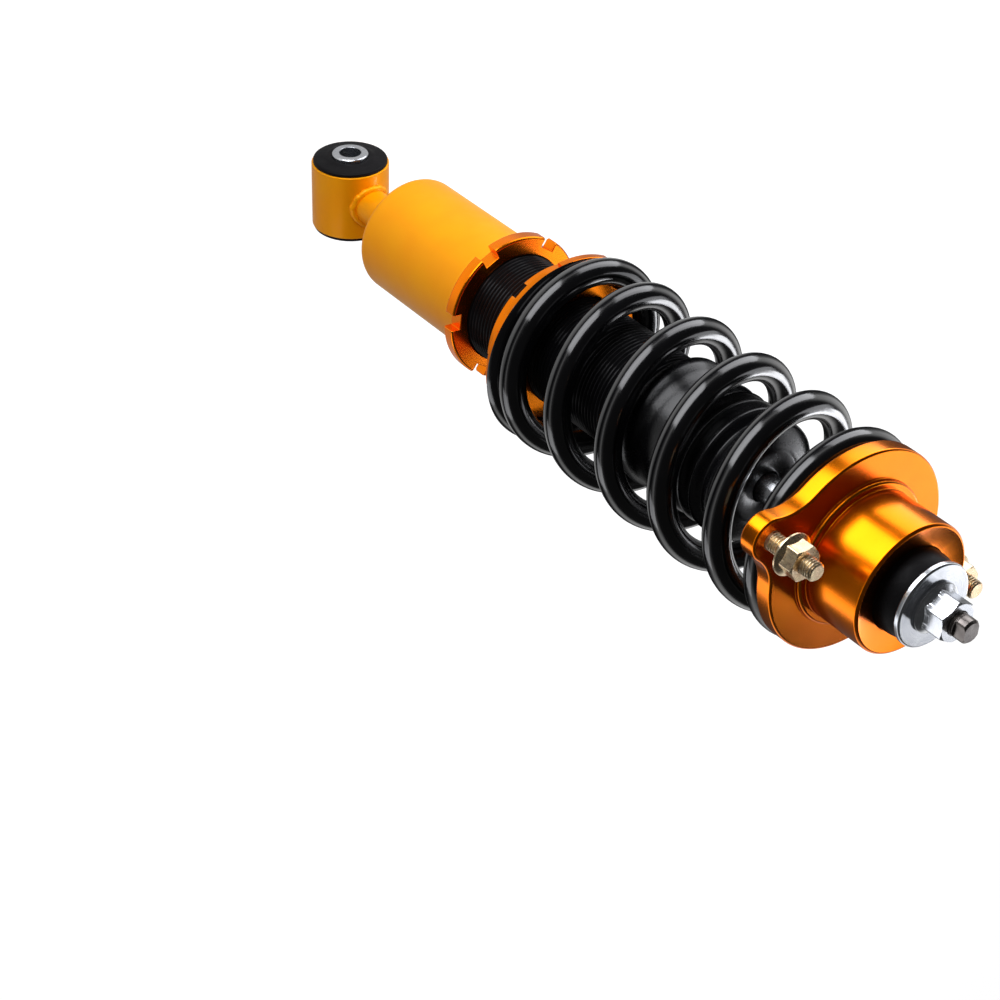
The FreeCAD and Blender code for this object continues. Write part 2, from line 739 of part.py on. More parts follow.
def make_top_mount():
    """The flange with two ears, the hub on top, its two bores and the web between them."""
    thick = FLANGE_TOP_Z - FLANGE_BOTTOM_Z
    plate = Part.Face(ear_outline()).extrude(UP * thick)
    rims = []
    for edge in plate.Edges:
        low, high = edge.BoundBox.ZMin, edge.BoundBox.ZMax
        if high - low < RUNNING_GAP:
            rims.append(edge)
    plate = plate.makeChamfer(FLANGE_CHAMFER, rims)
    plate.rotate(CENTRE, UP, EAR_TURN)
    edge = HUB_CHAMFER
    foot_edge = FOOT_CHAMFER
    hub = turned(
        [
            (0, FLANGE_BOTTOM_Z),
            (HUB_R, FLANGE_BOTTOM_Z),
            (FOOT_R, FLANGE_TOP_Z - foot_edge),
            (FOOT_R, FOOT_TOP_Z - foot_edge),
            (FOOT_R - foot_edge, FOOT_TOP_Z),
            (HUB_R, FOOT_TOP_Z),
            (HUB_R, HUB_TOP_Z - edge),
            (HUB_R - edge, HUB_TOP_Z),
            (HUB_BORE_R + edge, HUB_TOP_Z - HUB_DISH),
            (0, HUB_TOP_Z - HUB_DISH),
        ]
    )
    mount = plate.fuse(hub)
    mount = mount.cut(cylinder(HUB_RECESS_R, FLANGE_BOTTOM_Z - OVERSHOOT, WEB_BOTTOM_Z))
    mount = mount.cut(cylinder(WEB_HOLE_R, WEB_BOTTOM_Z - OVERSHOOT, WEB_TOP_Z + OVERSHOOT))
    mount = mount.cut(cylinder(HUB_BORE_R, WEB_TOP_Z, HUB_TOP_Z + OVERSHOOT))
    for x, y in around(STUD_PLACE_R, EAR_TURN, 2):
        hole = cylinder(
            STUD_SHANK_R + RUNNING_GAP,
            FLANGE_BOTTOM_Z - OVERSHOOT,
            FLANGE_TOP_Z + OVERSHOOT,
            x,
            y,
        )
        head = cylinder(
            COUNTERBORE_R,
            FLANGE_BOTTOM_Z - OVERSHOOT,
            FLANGE_BOTTOM_Z + COUNTERBORE_DEEP,
            x,
            y,
        )
        mount = mount.cut(hole).cut(head)
    return mount.removeSplitter()


def make_lower_cup_washer():
    edge = CUP_CHAMFER
    return turned(
        [
            (ROD_R + THREAD_FIT, CUP_BOTTOM_Z),
            (CUP_R - edge, CUP_BOTTOM_Z),
            (CUP_R, CUP_BOTTOM_Z + edge),
            (CUP_R, CUP_TOP_Z - edge),
            (CUP_R - edge, CUP_TOP_Z),
            (ROD_NECK_R + THREAD_FIT, CUP_TOP_Z),
            (ROD_NECK_R + THREAD_FIT, ROD_NECK_Z),
            (ROD_R + THREAD_FIT, ROD_NECK_Z),
        ]
    )


def make_lower_mount_rubber():
    step_z = LOWER_RUBBER_STEP_Z
    edge = LOWER_RUBBER_CHAMFER
    return turned(
        [
            (SPACER_R, CUP_TOP_Z),
            (LOWER_RUBBER_NECK_R, CUP_TOP_Z),
            (LOWER_RUBBER_NECK_R + LOWER_RUBBER_FLARE, step_z),
            (LOWER_RUBBER_R - edge, step_z),
            (LOWER_RUBBER_R, step_z + edge),
            (LOWER_RUBBER_R, WEB_BOTTOM_Z),
            (SPACER_R, WEB_BOTTOM_Z),
        ]
    )


def make_upper_mount_rubber():
    """The upper buffer: a neck through the web, a body in the bore and a domed shoulder above."""
    shoulder_z = UPPER_RUBBER_SHOULDER_Z
    bulge, rise = UPPER_RUBBER_DOME
    start = vector_rz(UPPER_RUBBER_R, shoulder_z)
    end = vector_rz(UPPER_RUBBER_EDGE_R, UPPER_RUBBER_TOP_Z)
    middle = vector_rz(
        UPPER_RUBBER_EDGE_R + bulge * (UPPER_RUBBER_R - UPPER_RUBBER_EDGE_R),
        shoulder_z + rise * (UPPER_RUBBER_TOP_Z - shoulder_z),
    )
    rest = [
        end,
        vector_rz(SPACER_R, UPPER_RUBBER_TOP_Z),
        vector_rz(SPACER_R, WEB_BOTTOM_Z),
        vector_rz(WEB_HOLE_R - THREAD_FIT, WEB_BOTTOM_Z),
        vector_rz(WEB_HOLE_R - THREAD_FIT, WEB_TOP_Z),
        vector_rz(UPPER_RUBBER_R, WEB_TOP_Z),
        start,
    ]
    edges = [Part.Arc(start, middle, end).toShape()]
    for first, second in zip(rest, rest[1:]):
        edges.append(Part.makeLine(first, second))
    return Part.Face(Part.Wire(edges)).revolve(CENTRE, UP, 360)


def make_top_washer():
    edge = WASHER_CHAMFER
    return turned(
        [
            (SPACER_BORE_R, UPPER_RUBBER_TOP_Z),
            (WASHER_R - edge, UPPER_RUBBER_TOP_Z),
            (WASHER_R, UPPER_RUBBER_TOP_Z + edge),
            (WASHER_R, WASHER_TOP_Z - edge),
            (WASHER_R - edge, WASHER_TOP_Z),
            (SPACER_BORE_R, WASHER_TOP_Z),
        ]
    )


def make_mount_studs():
    """Two studs: a head in the ear's counterbore, a plain shank in its hole and a thread above.

    The thread has its mean radius where the nut runs and its crest radius at the free end.
    """
    head_top = STUD_HEAD_BOTTOM_Z + STUD_HEAD_THICK
    shank_top = FLANGE_TOP_Z - THREAD_FIT
    outline = [
        (0, STUD_HEAD_BOTTOM_Z),
        (STUD_HEAD_R, STUD_HEAD_BOTTOM_Z),
        (STUD_HEAD_R, head_top),
        (STUD_SHANK_R, head_top),
        (STUD_SHANK_R, shank_top),
        (STUD_ENGAGED_R, shank_top),
        (STUD_ENGAGED_R, STUD_FREE_END_Z),
        (STUD_R, STUD_FREE_END_Z),
        (STUD_R, STUD_TOP_Z - STUD_CHAMFER),
        (STUD_R - STUD_CHAMFER, STUD_TOP_Z),
        (0, STUD_TOP_Z),
    ]
    studs = []
    for x, y in around(STUD_PLACE_R, EAR_TURN, 2):
        stud = turned(outline)
        stud.translate(FreeCAD.Vector(x, y, 0))
        studs.append(stud)
    return Part.makeCompound(studs)


def make_stud_nuts():
    nuts = []
    for x, y in around(STUD_PLACE_R, EAR_TURN, 2):
        nut = flange_nut(
            STUD_NUT_FLATS,
            STUD_NUT_FLANGE_R,
            STUD_NUT_FLANGE_THICK,
            STUD_ENGAGED_R + RUNNING_GAP,
            STUD_NUT_BOTTOM_Z,
            STUD_NUT_TOP_Z,
            STUD_NUT_CHAMFER,
        )
        nut.rotate(CENTRE, UP, EAR_TURN)
        nut.translate(FreeCAD.Vector(x, y, 0))
        nuts.append(nut)
    return Part.makeCompound(nuts)


def spring_height(angle):
    """Height of the wire's centre: closed end coils, and a pitch that eases to the active coils."""
    height = WIRE_START_Z
    for (low, low_pitch), (high, high_pitch) in zip(PITCH_STATIONS, PITCH_STATIONS[1:]):
        run = min(max(angle - low, 0.0), high - low)
        pitch = low_pitch + (high_pitch - low_pitch) * run / (high - low)
        height += (low_pitch + pitch) / 2 * run / 360.0
    return height


def make_coil_spring():
    first, last = PITCH_STATIONS[0][0], PITCH_STATIONS[-1][0]
    steps = int(round((last - first) / PATH_STEP))
    points = []
    for i in range(steps + 1):
        angle = first + i * (last - first) / steps
        turn = math.radians(angle)
        x, y = COIL_R * math.cos(turn), COIL_R * math.sin(turn)
        points.append(FreeCAD.Vector(x, y, spring_height(angle)))
    curve = Part.BSplineCurve()
    curve.interpolate(points)
    path = Part.Wire([curve.toShape()])
    start = points[0]
    ahead = curve.tangent(curve.FirstParameter)[0]
    wire_section = Part.Wire([Part.makeCircle(WIRE_R, start, ahead)])
    coil = path.makePipeShell([wire_section], True, True)
    coil = Part.Solid(coil) if coil.ShapeType == "Shell" else coil
    reach = COIL_R + 2 * WIRE_R
    return coil.common(cylinder(reach, SPRING_BOTTOM_Z, SPRING_TOP_Z))


PARTS = {
    "eye_sleeve": make_eye_sleeve(),
    "eye_bush_rubber": make_eye_bush_rubber(),
    "eye_crush_tube": make_eye_crush_tube(),
    "eye_weld": make_eye_weld(),
    "eye_stem": make_eye_stem(),
    "lower_housing": make_lower_housing(),
    "housing_lock_ring": make_lock_ring(HOUSING_RING_Z, HOUSING_RING_TURN),
    "seat_lock_ring": make_lock_ring(SEAT_RING_Z, SEAT_RING_TURN),
    "spring_seat": make_spring_seat(),
    "damper_tube": make_damper_tube(),
    "damper_base_cap": make_damper_base_cap(),
    "gland_nut": make_gland_nut(),
    "rod_guide": make_rod_guide(),
    "oil_seal": make_oil_seal(),
    "inner_tube": pipe(INNER_TUBE_R, INNER_TUBE_BORE_R, INNER_TUBE_BOTTOM_Z, GUIDE_BOTTOM_Z),
    "base_valve": make_base_valve(),
    "piston": make_piston(),
    "piston_band": pipe(BAND_R, BAND_GROOVE_R, BAND_BOTTOM_Z, BAND_TOP_Z),
    "valve_shims": make_valve_shims(),
    "piston_nut": make_piston_nut(),
    "rebound_stop": pipe(STOP_R, ROD_R, ROD_SHOULDER_Z, STOP_TOP_Z),
    "piston_rod": make_piston_rod(),
    "dust_boot": make_dust_boot(),
    "bump_stop": make_bump_stop(),
    "coil_spring": make_coil_spring(),
    "top_mount": make_top_mount(),
    "lower_cup_washer": make_lower_cup_washer(),
    "lower_mount_rubber": make_lower_mount_rubber(),
    "upper_mount_rubber": make_upper_mount_rubber(),
    "mount_spacer": pipe(SPACER_R, SPACER_BORE_R, CUP_TOP_Z, UPPER_RUBBER_TOP_Z),
    "top_washer": make_top_washer(),
    "top_nut": flange_nut(
        NUT_FLATS,
        NUT_FLANGE_R,
        NUT_FLANGE_THICK,
        ROD_NECK_R + RUNNING_GAP,
        WASHER_TOP_Z,
        NUT_TOP_Z,
        NUT_CHAMFER,
    ),
    "mount_studs": make_mount_studs(),
    "stud_nuts": make_stud_nuts(),
}

os.makedirs("parts", exist_ok=True)
for name, shape in PARTS.items():
    shape.exportStep(os.path.join("parts", name + ".step"))
    print(
        f"{name:20s} solids {len(shape.Solids)} volume {shape.Volume:10.1f} "
        f"valid {shape.isValid()} faces {len(shape.Faces)}"
    )
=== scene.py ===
# %% [markdown]
# # A height-adjustable coilover
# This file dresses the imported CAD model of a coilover, the spring and damper leg of a car.
# Everything is in metres and in the CAD frame: the origin is the centre of the lower eye and +Z
# runs up the damper to the top mount. Pieces whose shape follows a rule, such as the coil spring
# and the threads, are made with Geometry Nodes. Turned and milled pieces keep the CAD shape and
# get softened edges, because a real machined edge always catches light.

import json
import math

import bmesh
import bpy
from mathutils import Matrix, Vector


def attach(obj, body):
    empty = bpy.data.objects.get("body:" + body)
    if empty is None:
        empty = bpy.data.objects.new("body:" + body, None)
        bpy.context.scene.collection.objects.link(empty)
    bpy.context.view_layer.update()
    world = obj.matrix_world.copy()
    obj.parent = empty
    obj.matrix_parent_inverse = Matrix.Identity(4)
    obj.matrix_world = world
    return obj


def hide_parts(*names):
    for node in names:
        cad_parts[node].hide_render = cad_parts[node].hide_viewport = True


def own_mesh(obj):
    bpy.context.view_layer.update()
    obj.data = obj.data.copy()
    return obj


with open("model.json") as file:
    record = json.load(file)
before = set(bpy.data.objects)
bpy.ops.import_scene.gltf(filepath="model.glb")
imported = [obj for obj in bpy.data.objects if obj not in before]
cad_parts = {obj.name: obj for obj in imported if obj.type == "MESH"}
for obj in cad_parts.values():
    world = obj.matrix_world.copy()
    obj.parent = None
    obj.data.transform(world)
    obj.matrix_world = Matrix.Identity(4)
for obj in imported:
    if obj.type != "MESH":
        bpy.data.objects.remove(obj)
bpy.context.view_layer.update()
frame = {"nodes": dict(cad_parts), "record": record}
MM = 0.001

# %% [markdown]
# ## Small helpers
# A node tree is easier to read when every node is added in one line with its settings and links,
# so one function does that for materials and for Geometry Nodes alike. Colours are written as the
# sRGB hex values that a painter would pick and are turned into Blender's linear values in one
# place.

# %% Helpers for nodes and colours
MATH = "ShaderNodeMath"
VECTOR_MATH = "ShaderNodeVectorMath"
MAP_RANGE = "ShaderNodeMapRange"
WHITE = (1.0, 1.0, 1.0, 1.0)
SAME_POINT = 1e-7
NO_LENGTH = 1e-8


def socket_of(value):
    """A node stands for its first output in use; anything else stays as it is."""
    if isinstance(value, bpy.types.Node):
        return next(output for output in value.outputs if output.enabled)
    return value


def add(tree, kind, links=(), **settings):
    """Adds a node: settings are its properties, links its inputs, in order or by name or number."""
    node = tree.nodes.new(kind)
    for name, value in settings.items():
        setattr(node, name, value)
    for key, value in links.items() if isinstance(links, dict) else enumerate(links):
        value = socket_of(value)
        if isinstance(value, bpy.types.NodeSocket):
            tree.links.new(value, node.inputs[key])
        else:
            node.inputs[key].default_value = value
    return node


def hue(code):
    """Linear RGBA from an sRGB hex code, by the curve of the sRGB standard."""
    channels = [int(code[i:i + 2], 16) / 255 for i in (1, 3, 5)]
    linear = [c / 12.92 if c <= 0.04045 else ((c + 0.055) / 1.055) ** 2.4 for c in channels]
    return (*linear, 1.0)


print("sRGB mid grey in linear", round(hue("#808080")[0], 3))

# %% [markdown]
# ## Camera
# The photograph looks down the leg from above its top mount, so the near end is large and the eye
# is small. The place and direction come from fitting the circles of the real object: the place is
# in millimetres from the eye, and the lens is the focal length that gives the same perspective on
# a 36 mm sensor.

# %% Camera
CAMERA_PLACE = Vector((-550.9, 530.2, 838.8)) * MM
CAMERA_RIGHT = Vector((0.8043, 0.0289, 0.5936))
CAMERA_FORWARD = Vector((0.4989, -0.5755, -0.6480))
FOCAL_LENGTH = 86.22
SENSOR_WIDTH = 36.0
NEAREST_SEEN = 0.05

camera_data = bpy.data.cameras.new("camera")
camera_data.lens = FOCAL_LENGTH
camera_data.sensor_width = SENSOR_WIDTH
camera_data.clip_start = NEAREST_SEEN
camera = bpy.data.objects.new("camera", camera_data)
bpy.context.collection.objects.link(camera)
back = -CAMERA_FORWARD.normalized()
side = (CAMERA_RIGHT - back * CAMERA_RIGHT.dot(back)).normalized()
turned = Matrix((side, back.cross(side), back)).transposed().to_4x4()
camera.matrix_world = Matrix.Translation(CAMERA_PLACE) @ turned
bpy.context.scene.camera = camera
to_middle = (CAMERA_PLACE - Vector((0, 0, 0.2))).length
print("camera distance to the leg's middle", round(to_middle, 3), "m")

# %% [markdown]
# ## Stage and light
# A white studio: the object stands on a pale floor in front of a pale surround, and both are plain
# white for the camera. Mirror-like and clear rays see white near the foot on the +Y side, far away,
# and in a low band on the +X -Y side. Elsewhere they see a dim studio, so gloss black stays black
# between its highlights. The level of light is plain, so that colours render about as they are
# written. Two large softboxes on the +Y side, with a gap between them, give each coil and the hub
# a pair of streaks, and a fill that mirrors don't see adds to the right one. A panel on the -X -Y
# side lifts the shadow side, a strip on the +X -Y side draws a thin line, and a box high on that
# side lights the mount's upper faces.

# %% The surround
SWEEP_SIDE = (0.655, -0.755, 0.0)
BAND_HEIGHTS = (0.02, 0.3)
SWEEP_ANGLES = (-0.1, 0.5)
SWEEP_LEAST = 0.2
BAND_LIGHT = 0.3
CEILING_LIGHT = 0.1
MIRROR_DIMMING = 0.4


def ray_kinds(tree):
    """1 for the rays that a mirror or a clear piece sends on, and 1 for the camera's own rays."""
    path = add(tree, "ShaderNodeLightPath").outputs
    mirrored = [path["Is Glossy Ray"], path["Is Transmission Ray"]]
    return add(tree, MATH, mirrored, operation="MAXIMUM"), path["Is Camera Ray"]


def studio_world():
    """White for the camera, and for mirrors a low band on one side in an otherwise dim room."""
    world = bpy.data.worlds.new("studio_surround")
    world.use_nodes = True
    tree = world.node_tree
    tree.nodes.clear()
    mirror, camera_ray = ray_kinds(tree)
    direction = add(tree, "ShaderNodeTexCoord").outputs["Generated"]
    height = add(tree, "ShaderNodeSeparateXYZ", [direction]).outputs[2]
    band = add(tree, MAP_RANGE, [height, *BAND_HEIGHTS, 1.0, 0.0], interpolation_type="SMOOTHSTEP")
    sweep = add(tree, VECTOR_MATH, [direction, SWEEP_SIDE], operation="DOT_PRODUCT")
    sweep = add(tree, MAP_RANGE, [sweep, *SWEEP_ANGLES, SWEEP_LEAST, 1.0],
                interpolation_type="SMOOTHSTEP")
    white = add(tree, MATH, [mirror, band], operation="MULTIPLY")
    white = add(tree, MATH, [white, sweep], operation="MULTIPLY")
    white = add(tree, MATH, [white, camera_ray], operation="MAXIMUM")
    soft = add(tree, MAP_RANGE, [band, 0.0, 1.0, CEILING_LIGHT, BAND_LIGHT])
    dim = add(tree, MAP_RANGE, [mirror, 0.0, 1.0, 1.0, MIRROR_DIMMING])
    soft = add(tree, MATH, [soft, dim], operation="MULTIPLY")
    level = add(tree, MATH, [white, soft], operation="MAXIMUM")
    light = add(tree, "ShaderNodeBackground", {"Color": WHITE, "Strength": level})
    add(tree, "ShaderNodeOutputWorld", {"Surface": light})
    return world


bpy.context.scene.world = studio_world()
bpy.context.scene.view_settings.view_transform = "Standard"
print("surround lights with", CEILING_LIGHT, "above and", BAND_LIGHT, "at the horizon")

# %% The floor
FLOOR_Z = -18.4 * MM
FLOOR_REACH = 6.0
FOOT_SIDE = (-0.35, 0.94, 0.0)
FOOT_DISTANCES = (0.2, 0.34)
FOOT_SIDE_DISTANCES = (0.03, 0.11)
FOOT_LEAST = 0.55
FAR_DISTANCES = (0.4, 1.6)
FLOOR_GLOW = 0.93
FLOOR_GREY = 0.36
FLOOR_GREY_IN_MIRRORS = 0.03


def pale_floor_paint():
    """White for the camera; mirrors see white near the foot and far away, and dark between."""
    paint = bpy.data.materials.new("pale_floor_paint")
    paint.use_nodes = True
    tree = paint.node_tree
    tree.nodes.clear()
    mirror, camera_ray = ray_kinds(tree)
    place = add(tree, "ShaderNodeTexCoord").outputs["Object"]
    away = add(tree, VECTOR_MATH, [place], operation="LENGTH")
    far = add(tree, MAP_RANGE, [away, *FAR_DISTANCES], interpolation_type="SMOOTHSTEP")
    foot = add(tree, MAP_RANGE, [away, *FOOT_DISTANCES, 1.0, 0.0], interpolation_type="SMOOTHSTEP")
    beside = add(tree, VECTOR_MATH, [place, FOOT_SIDE], operation="DOT_PRODUCT")
    beside = add(tree, MAP_RANGE, [beside, *FOOT_SIDE_DISTANCES, FOOT_LEAST, 1.0],
                 interpolation_type="SMOOTHSTEP")
    foot = add(tree, MATH, [foot, beside], operation="MULTIPLY")
    seen = add(tree, MATH, [far, foot], operation="MAXIMUM")
    seen = add(tree, MATH, [mirror, seen], operation="MULTIPLY")
    seen = add(tree, MATH, [seen, camera_ray], operation="MAXIMUM")
    strength = add(tree, MATH, [seen, FLOOR_GLOW], operation="MULTIPLY")
    grey = add(tree, MAP_RANGE, [mirror, 0.0, 1.0, FLOOR_GREY, FLOOR_GREY_IN_MIRRORS])
    matte = add(tree, "ShaderNodeBsdfDiffuse", {"Color": grey})
    glow = add(tree, "ShaderNodeEmission", {"Color": WHITE, "Strength": strength})
    both = add(tree, "ShaderNodeAddShader", [matte, glow])
    add(tree, "ShaderNodeOutputMaterial", {"Surface": both})
    return paint


floor_mesh = bpy.data.meshes.new("floor")
floor_mesh.from_pydata(
    [(x * FLOOR_REACH, y * FLOOR_REACH, FLOOR_Z) for x, y in ((-1, -1), (1, -1), (1, 1), (-1, 1))],
    [], [(0, 1, 2, 3)])
floor_mesh.materials.append(pale_floor_paint())
floor = bpy.data.objects.new("floor", floor_mesh)
bpy.context.collection.objects.link(floor)
print("floor at", FLOOR_Z, "m")

# %% Softboxes
# Each row: name, place, the point that it faces, width and height, brightness, if mirrors see it.
SOFTBOXES = (
    ("left_softbox", (-0.19, 0.46, 0.17), (0.0, 0.0, 0.25), (0.43, 0.40), 4.7, True),
    ("right_softbox", (0.37, 0.38, 0.15), (0.0, 0.0, 0.22), (0.44, 0.36), 2.9, True),
    ("right_fill", (0.39, 0.40, 0.15), (0.0, 0.0, 0.16), (0.50, 0.40), 3.2, False),
    ("bounce_panel", (-0.33, -0.30, 0.09), (0.0, 0.0, 0.20), (0.20, 0.34), 1.6, True),
    ("streak_strip", (0.52, -0.36, 0.50), (0.0, 0.0, 0.24), (0.30, 0.09), 7.0, True),
    ("end_softbox", (0.83, -0.37, 0.91), (0.0, 0.0, 0.34), (0.7, 0.6), 1.7, True))
LAMP_TINT = (0.95, 0.96, 1.0)


def softbox(name, place, aim, size, brightness, mirrored):
    """A rectangular lamp turned to face aim; brightness is how bright it looks, white is 1."""
    lamp = bpy.data.lights.new(name, "AREA")
    lamp.shape = "RECTANGLE"
    lamp.size, lamp.size_y = size
    lamp.energy = brightness * math.pi * size[0] * size[1]
    lamp.color = LAMP_TINT
    holder = bpy.data.objects.new(name, lamp)
    bpy.context.collection.objects.link(holder)
    holder.location = place
    holder.rotation_euler = (Vector(aim) - Vector(place)).to_track_quat("-Z", "Y").to_euler()
    holder.visible_camera = False
    holder.visible_glossy = mirrored


for softbox_values in SOFTBOXES:
    softbox(*softbox_values)
print(len(SOFTBOXES), "lamps")

# %% [markdown]
# ## Surface patterns
# No real surface is one flat value. A few small patterns are shared by the finishes: a soft noise
# with its size in millimetres, a colour that drifts between two hues, turning marks, and a mask of
# convex edges where handling wears a finish first. They read Object coordinates, and every object
# stays at the origin, so a pattern is fixed to its piece.

# %% Surface patterns
NOISE_SPAN = (0.3, 0.7)
EDGE_SPAN = (0.53, 0.62)
WEAR_SPOT_MM = 1.5
WEAR_LEAST = 0.35
FLATTEN = (1, 1, 0)
UP_AXIS = (0, 0, 1)


def spots(tree, size_mm, low, high, detail=3.0):
    """A soft noise with features about size_mm across, as a value between low and high."""
    place = add(tree, "ShaderNodeTexCoord").outputs["Object"]
    noise = add(tree, "ShaderNodeTexNoise",
                {"Vector": place, "Scale": 1000 / size_mm, "Detail": detail})
    return add(tree, MAP_RANGE, [noise, *NOISE_SPAN, low, high])


def two_tone(tree, size_mm, first, second):
    """A colour that drifts between two hex codes in patches about size_mm across."""
    patches = {0: spots(tree, size_mm, 0, 1), 6: hue(first), 7: hue(second)}
    return add(tree, "ShaderNodeMix", patches, data_type="RGBA")


def worn_edges(tree, amount):
    """Up to amount on convex edges where a finish wears, broken up by noise, and 0 elsewhere."""
    convex = add(tree, "ShaderNodeNewGeometry").outputs["Pointiness"]
    edge = add(tree, MAP_RANGE, [convex, *EDGE_SPAN, 0.0, amount])
    broken = spots(tree, WEAR_SPOT_MM, WEAR_LEAST, 1.0)
    return add(tree, MATH, [edge, broken], operation="MULTIPLY")


def around_axis(tree):
    """The direction round the Z axis at each point, the way a lathe tool travels."""
    place = add(tree, "ShaderNodeTexCoord").outputs["Object"]
    round_it = add(tree, VECTOR_MATH, [UP_AXIS, place], operation="CROSS_PRODUCT")
    return add(tree, VECTOR_MATH, [round_it], operation="NORMALIZE")


def lathe_marks(tree, pitch_mm):
    """Fine turning marks: rings round the Z axis on flat faces and on round ones."""
    place = add(tree, "ShaderNodeTexCoord").outputs["Object"]
    flat = add(tree, VECTOR_MATH, [place, FLATTEN], operation="MULTIPLY")
    radius = add(tree, VECTOR_MATH, [flat], operation="LENGTH")
    height = add(tree, "ShaderNodeSeparateXYZ", [place]).outputs[2]
    along = add(tree, MATH, [radius, height], operation="ADD")
    cut = add(tree, MATH, [along, 1000 / pitch_mm], operation="MULTIPLY")
    return add(tree, "ShaderNodeTexNoise", {"W": cut, "Scale": 1.0, "Detail": 2.0},
               noise_dimensions="1D")


# %% Finishes and how they are put together
FINISHES = {}


def new_finish(slot, name, **values):
    """The finish for a slot: one Principled shader, its uniform values set on its own sockets."""
    print("finish", name)
    finish = bpy.data.materials.new(name)
    finish.use_nodes = True
    tree = finish.node_tree
    tree.nodes.clear()
    values = {key.replace("_", " "): value for key, value in values.items()}
    shader = add(tree, "ShaderNodeBsdfPrincipled", values)
    add(tree, "ShaderNodeOutputMaterial", {"Surface": shader})
    FINISHES[slot] = finish
    return tree, shader


def dress(tree, shader, colour, roughness, height, depth_mm, wear=0.0, worn=None, turned=False):
    """Links a finish's patterns: colour with worn edges, roughness, and a bump from a height."""
    if wear:
        mixed = {0: worn_edges(tree, wear), 6: colour, 7: hue(worn)}
        colour = add(tree, "ShaderNodeMix", mixed, data_type="RGBA")
    bump = add(tree, "ShaderNodeBump",
               {"Height": height, "Distance": depth_mm * MM, "Strength": 1.0})
    patterns = {"Base Color": colour, "Roughness": roughness, "Normal": bump}
    if turned:
        patterns["Tangent"] = around_axis(tree)
    for key, value in patterns.items():
        tree.links.new(socket_of(value), shader.inputs[key])


# %% [markdown]
# ## Golden-yellow gloss paint
# The lower housing, the stem and the eye are welded steel, sprayed with thick gold paint. Mica
# flakes in it reflect in the paint's own colour, so it is set as partly metallic: the lit side
# turns yellower and the far side browner. It flows out almost flat but leaves a slight orange peel
# under a thin clear coat. The colour drifts a little with the thickness of the coat, and edges
# that were knocked show darker primer.

# %% Gloss paint
tree, shader = new_finish(
    "gold_paint", "mica_gold_paint_over_steel",
    Metallic=0.3, Specular_IOR_Level=0.1, Coat_Weight=0.12, Coat_Roughness=0.1)
dress(tree, shader, two_tone(tree, 22, "#FD9E00", "#FFA700"), spots(tree, 9, 0.38, 0.46),
      height=spots(tree, 3.2, 0, 1, detail=1.0), depth_mm=0.02, wear=0.35, worn="#8A5A1A")

# %% [markdown]
# ## Orange-gold anodised aluminium
# The lock rings, the spring seat and the top mount are turned from aluminium and dyed in the
# anodising bath. The dye sits in a clear oxide layer over bare metal, so this is a coloured metal,
# not a paint. Turning leaves fine rings that stretch each highlight across them, which gives the
# fan of light and dark on flat faces. The stretch is the shader's anisotropy, with the tangent set
# round the axis. Real marks are about 0.1 mm apart; they are drawn at 0.4 mm, and so shallow that
# they only grain the highlight.

# %% Anodised aluminium
tree, shader = new_finish(
    "gold_anodised", "anodised_turned_aluminium", Metallic=1.0, Anisotropic=0.3)
dress(tree, shader, two_tone(tree, 30, "#FF7E08", "#FF880E"), spots(tree, 14, 0.21, 0.25),
      height=lathe_marks(tree, 0.4), depth_mm=0.0001, wear=0.15, worn="#FFD27A", turned=True)

# %% [markdown]
# ## Black finishes
# Blacks that differ in gloss: the damper body's satin black over a cut thread, the spring's thick
# gloss powder coat, and moulded rubber. Powder coat is baked from grains, so it keeps a wider
# orange peel than paint does. The bush is matte rubber, while the boot comes out of a polished
# mould and is glossier.

# %% Black finishes
tree, shader = new_finish(
    "black_body", "satin_black_oxide", Metallic=0.0, Specular_IOR_Level=0.22)
dress(tree, shader, two_tone(tree, 14, "#050506", "#0C0C0E"), spots(tree, 4, 0.3, 0.44),
      height=spots(tree, 0.6, 0, 1), depth_mm=0.01, wear=0.25, worn="#3A3A3E")

tree, shader = new_finish(
    "spring_black", "gloss_black_powder_coat",
    Metallic=0.0, Specular_IOR_Level=0.2, Coat_Weight=1.0, Coat_Roughness=0.13)
dress(tree, shader, two_tone(tree, 18, "#030304", "#070709"), spots(tree, 7, 0.14, 0.22),
      height=spots(tree, 4.5, 0, 1, detail=1.0), depth_mm=0.03, wear=0.2, worn="#2E2E33")

for slot, name, dark, light, rough_low, rough_high, shine in (
        ("bush_rubber", "natural_rubber", "#09080A", "#121113", 0.42, 0.58, 0.1),
        ("boot_rubber", "moulded_chloroprene_rubber", "#060608", "#0C0C0E", 0.22, 0.3, 0.4)):
    tree, shader = new_finish(slot, name, Metallic=0.0, Specular_IOR_Level=shine)
    dress(tree, shader, two_tone(tree, 11, dark, light), spots(tree, 5, rough_low, rough_high),
          height=spots(tree, 0.8, 0, 1), depth_mm=0.02, wear=0.3, worn="#3B383B")

# %% [markdown]
# ## Foam and plastic inside
# The bump stop is cream closed-cell foam with a skin of fine pores, and the piston's guide band is
# a filled low-friction plastic. Both are hidden in the damper, but they are finished too, for views
# with the boot open.

# %% Foam and plastic
for slot, name, dark, light, pore_mm in (
        ("bump_foam", "closed_cell_polyurethane_foam", "#A8884A", "#BC9C5C", 0.9),
        ("band_plastic", "bronze_filled_ptfe", "#4F7A72", "#5E8A80", 0.5)):
    tree, shader = new_finish(slot, name, Metallic=0.0)
    dress(tree, shader, two_tone(tree, 6, dark, light), spots(tree, 2, 0.65, 0.85),
          height=spots(tree, pore_mm, 0, 1), depth_mm=0.05)

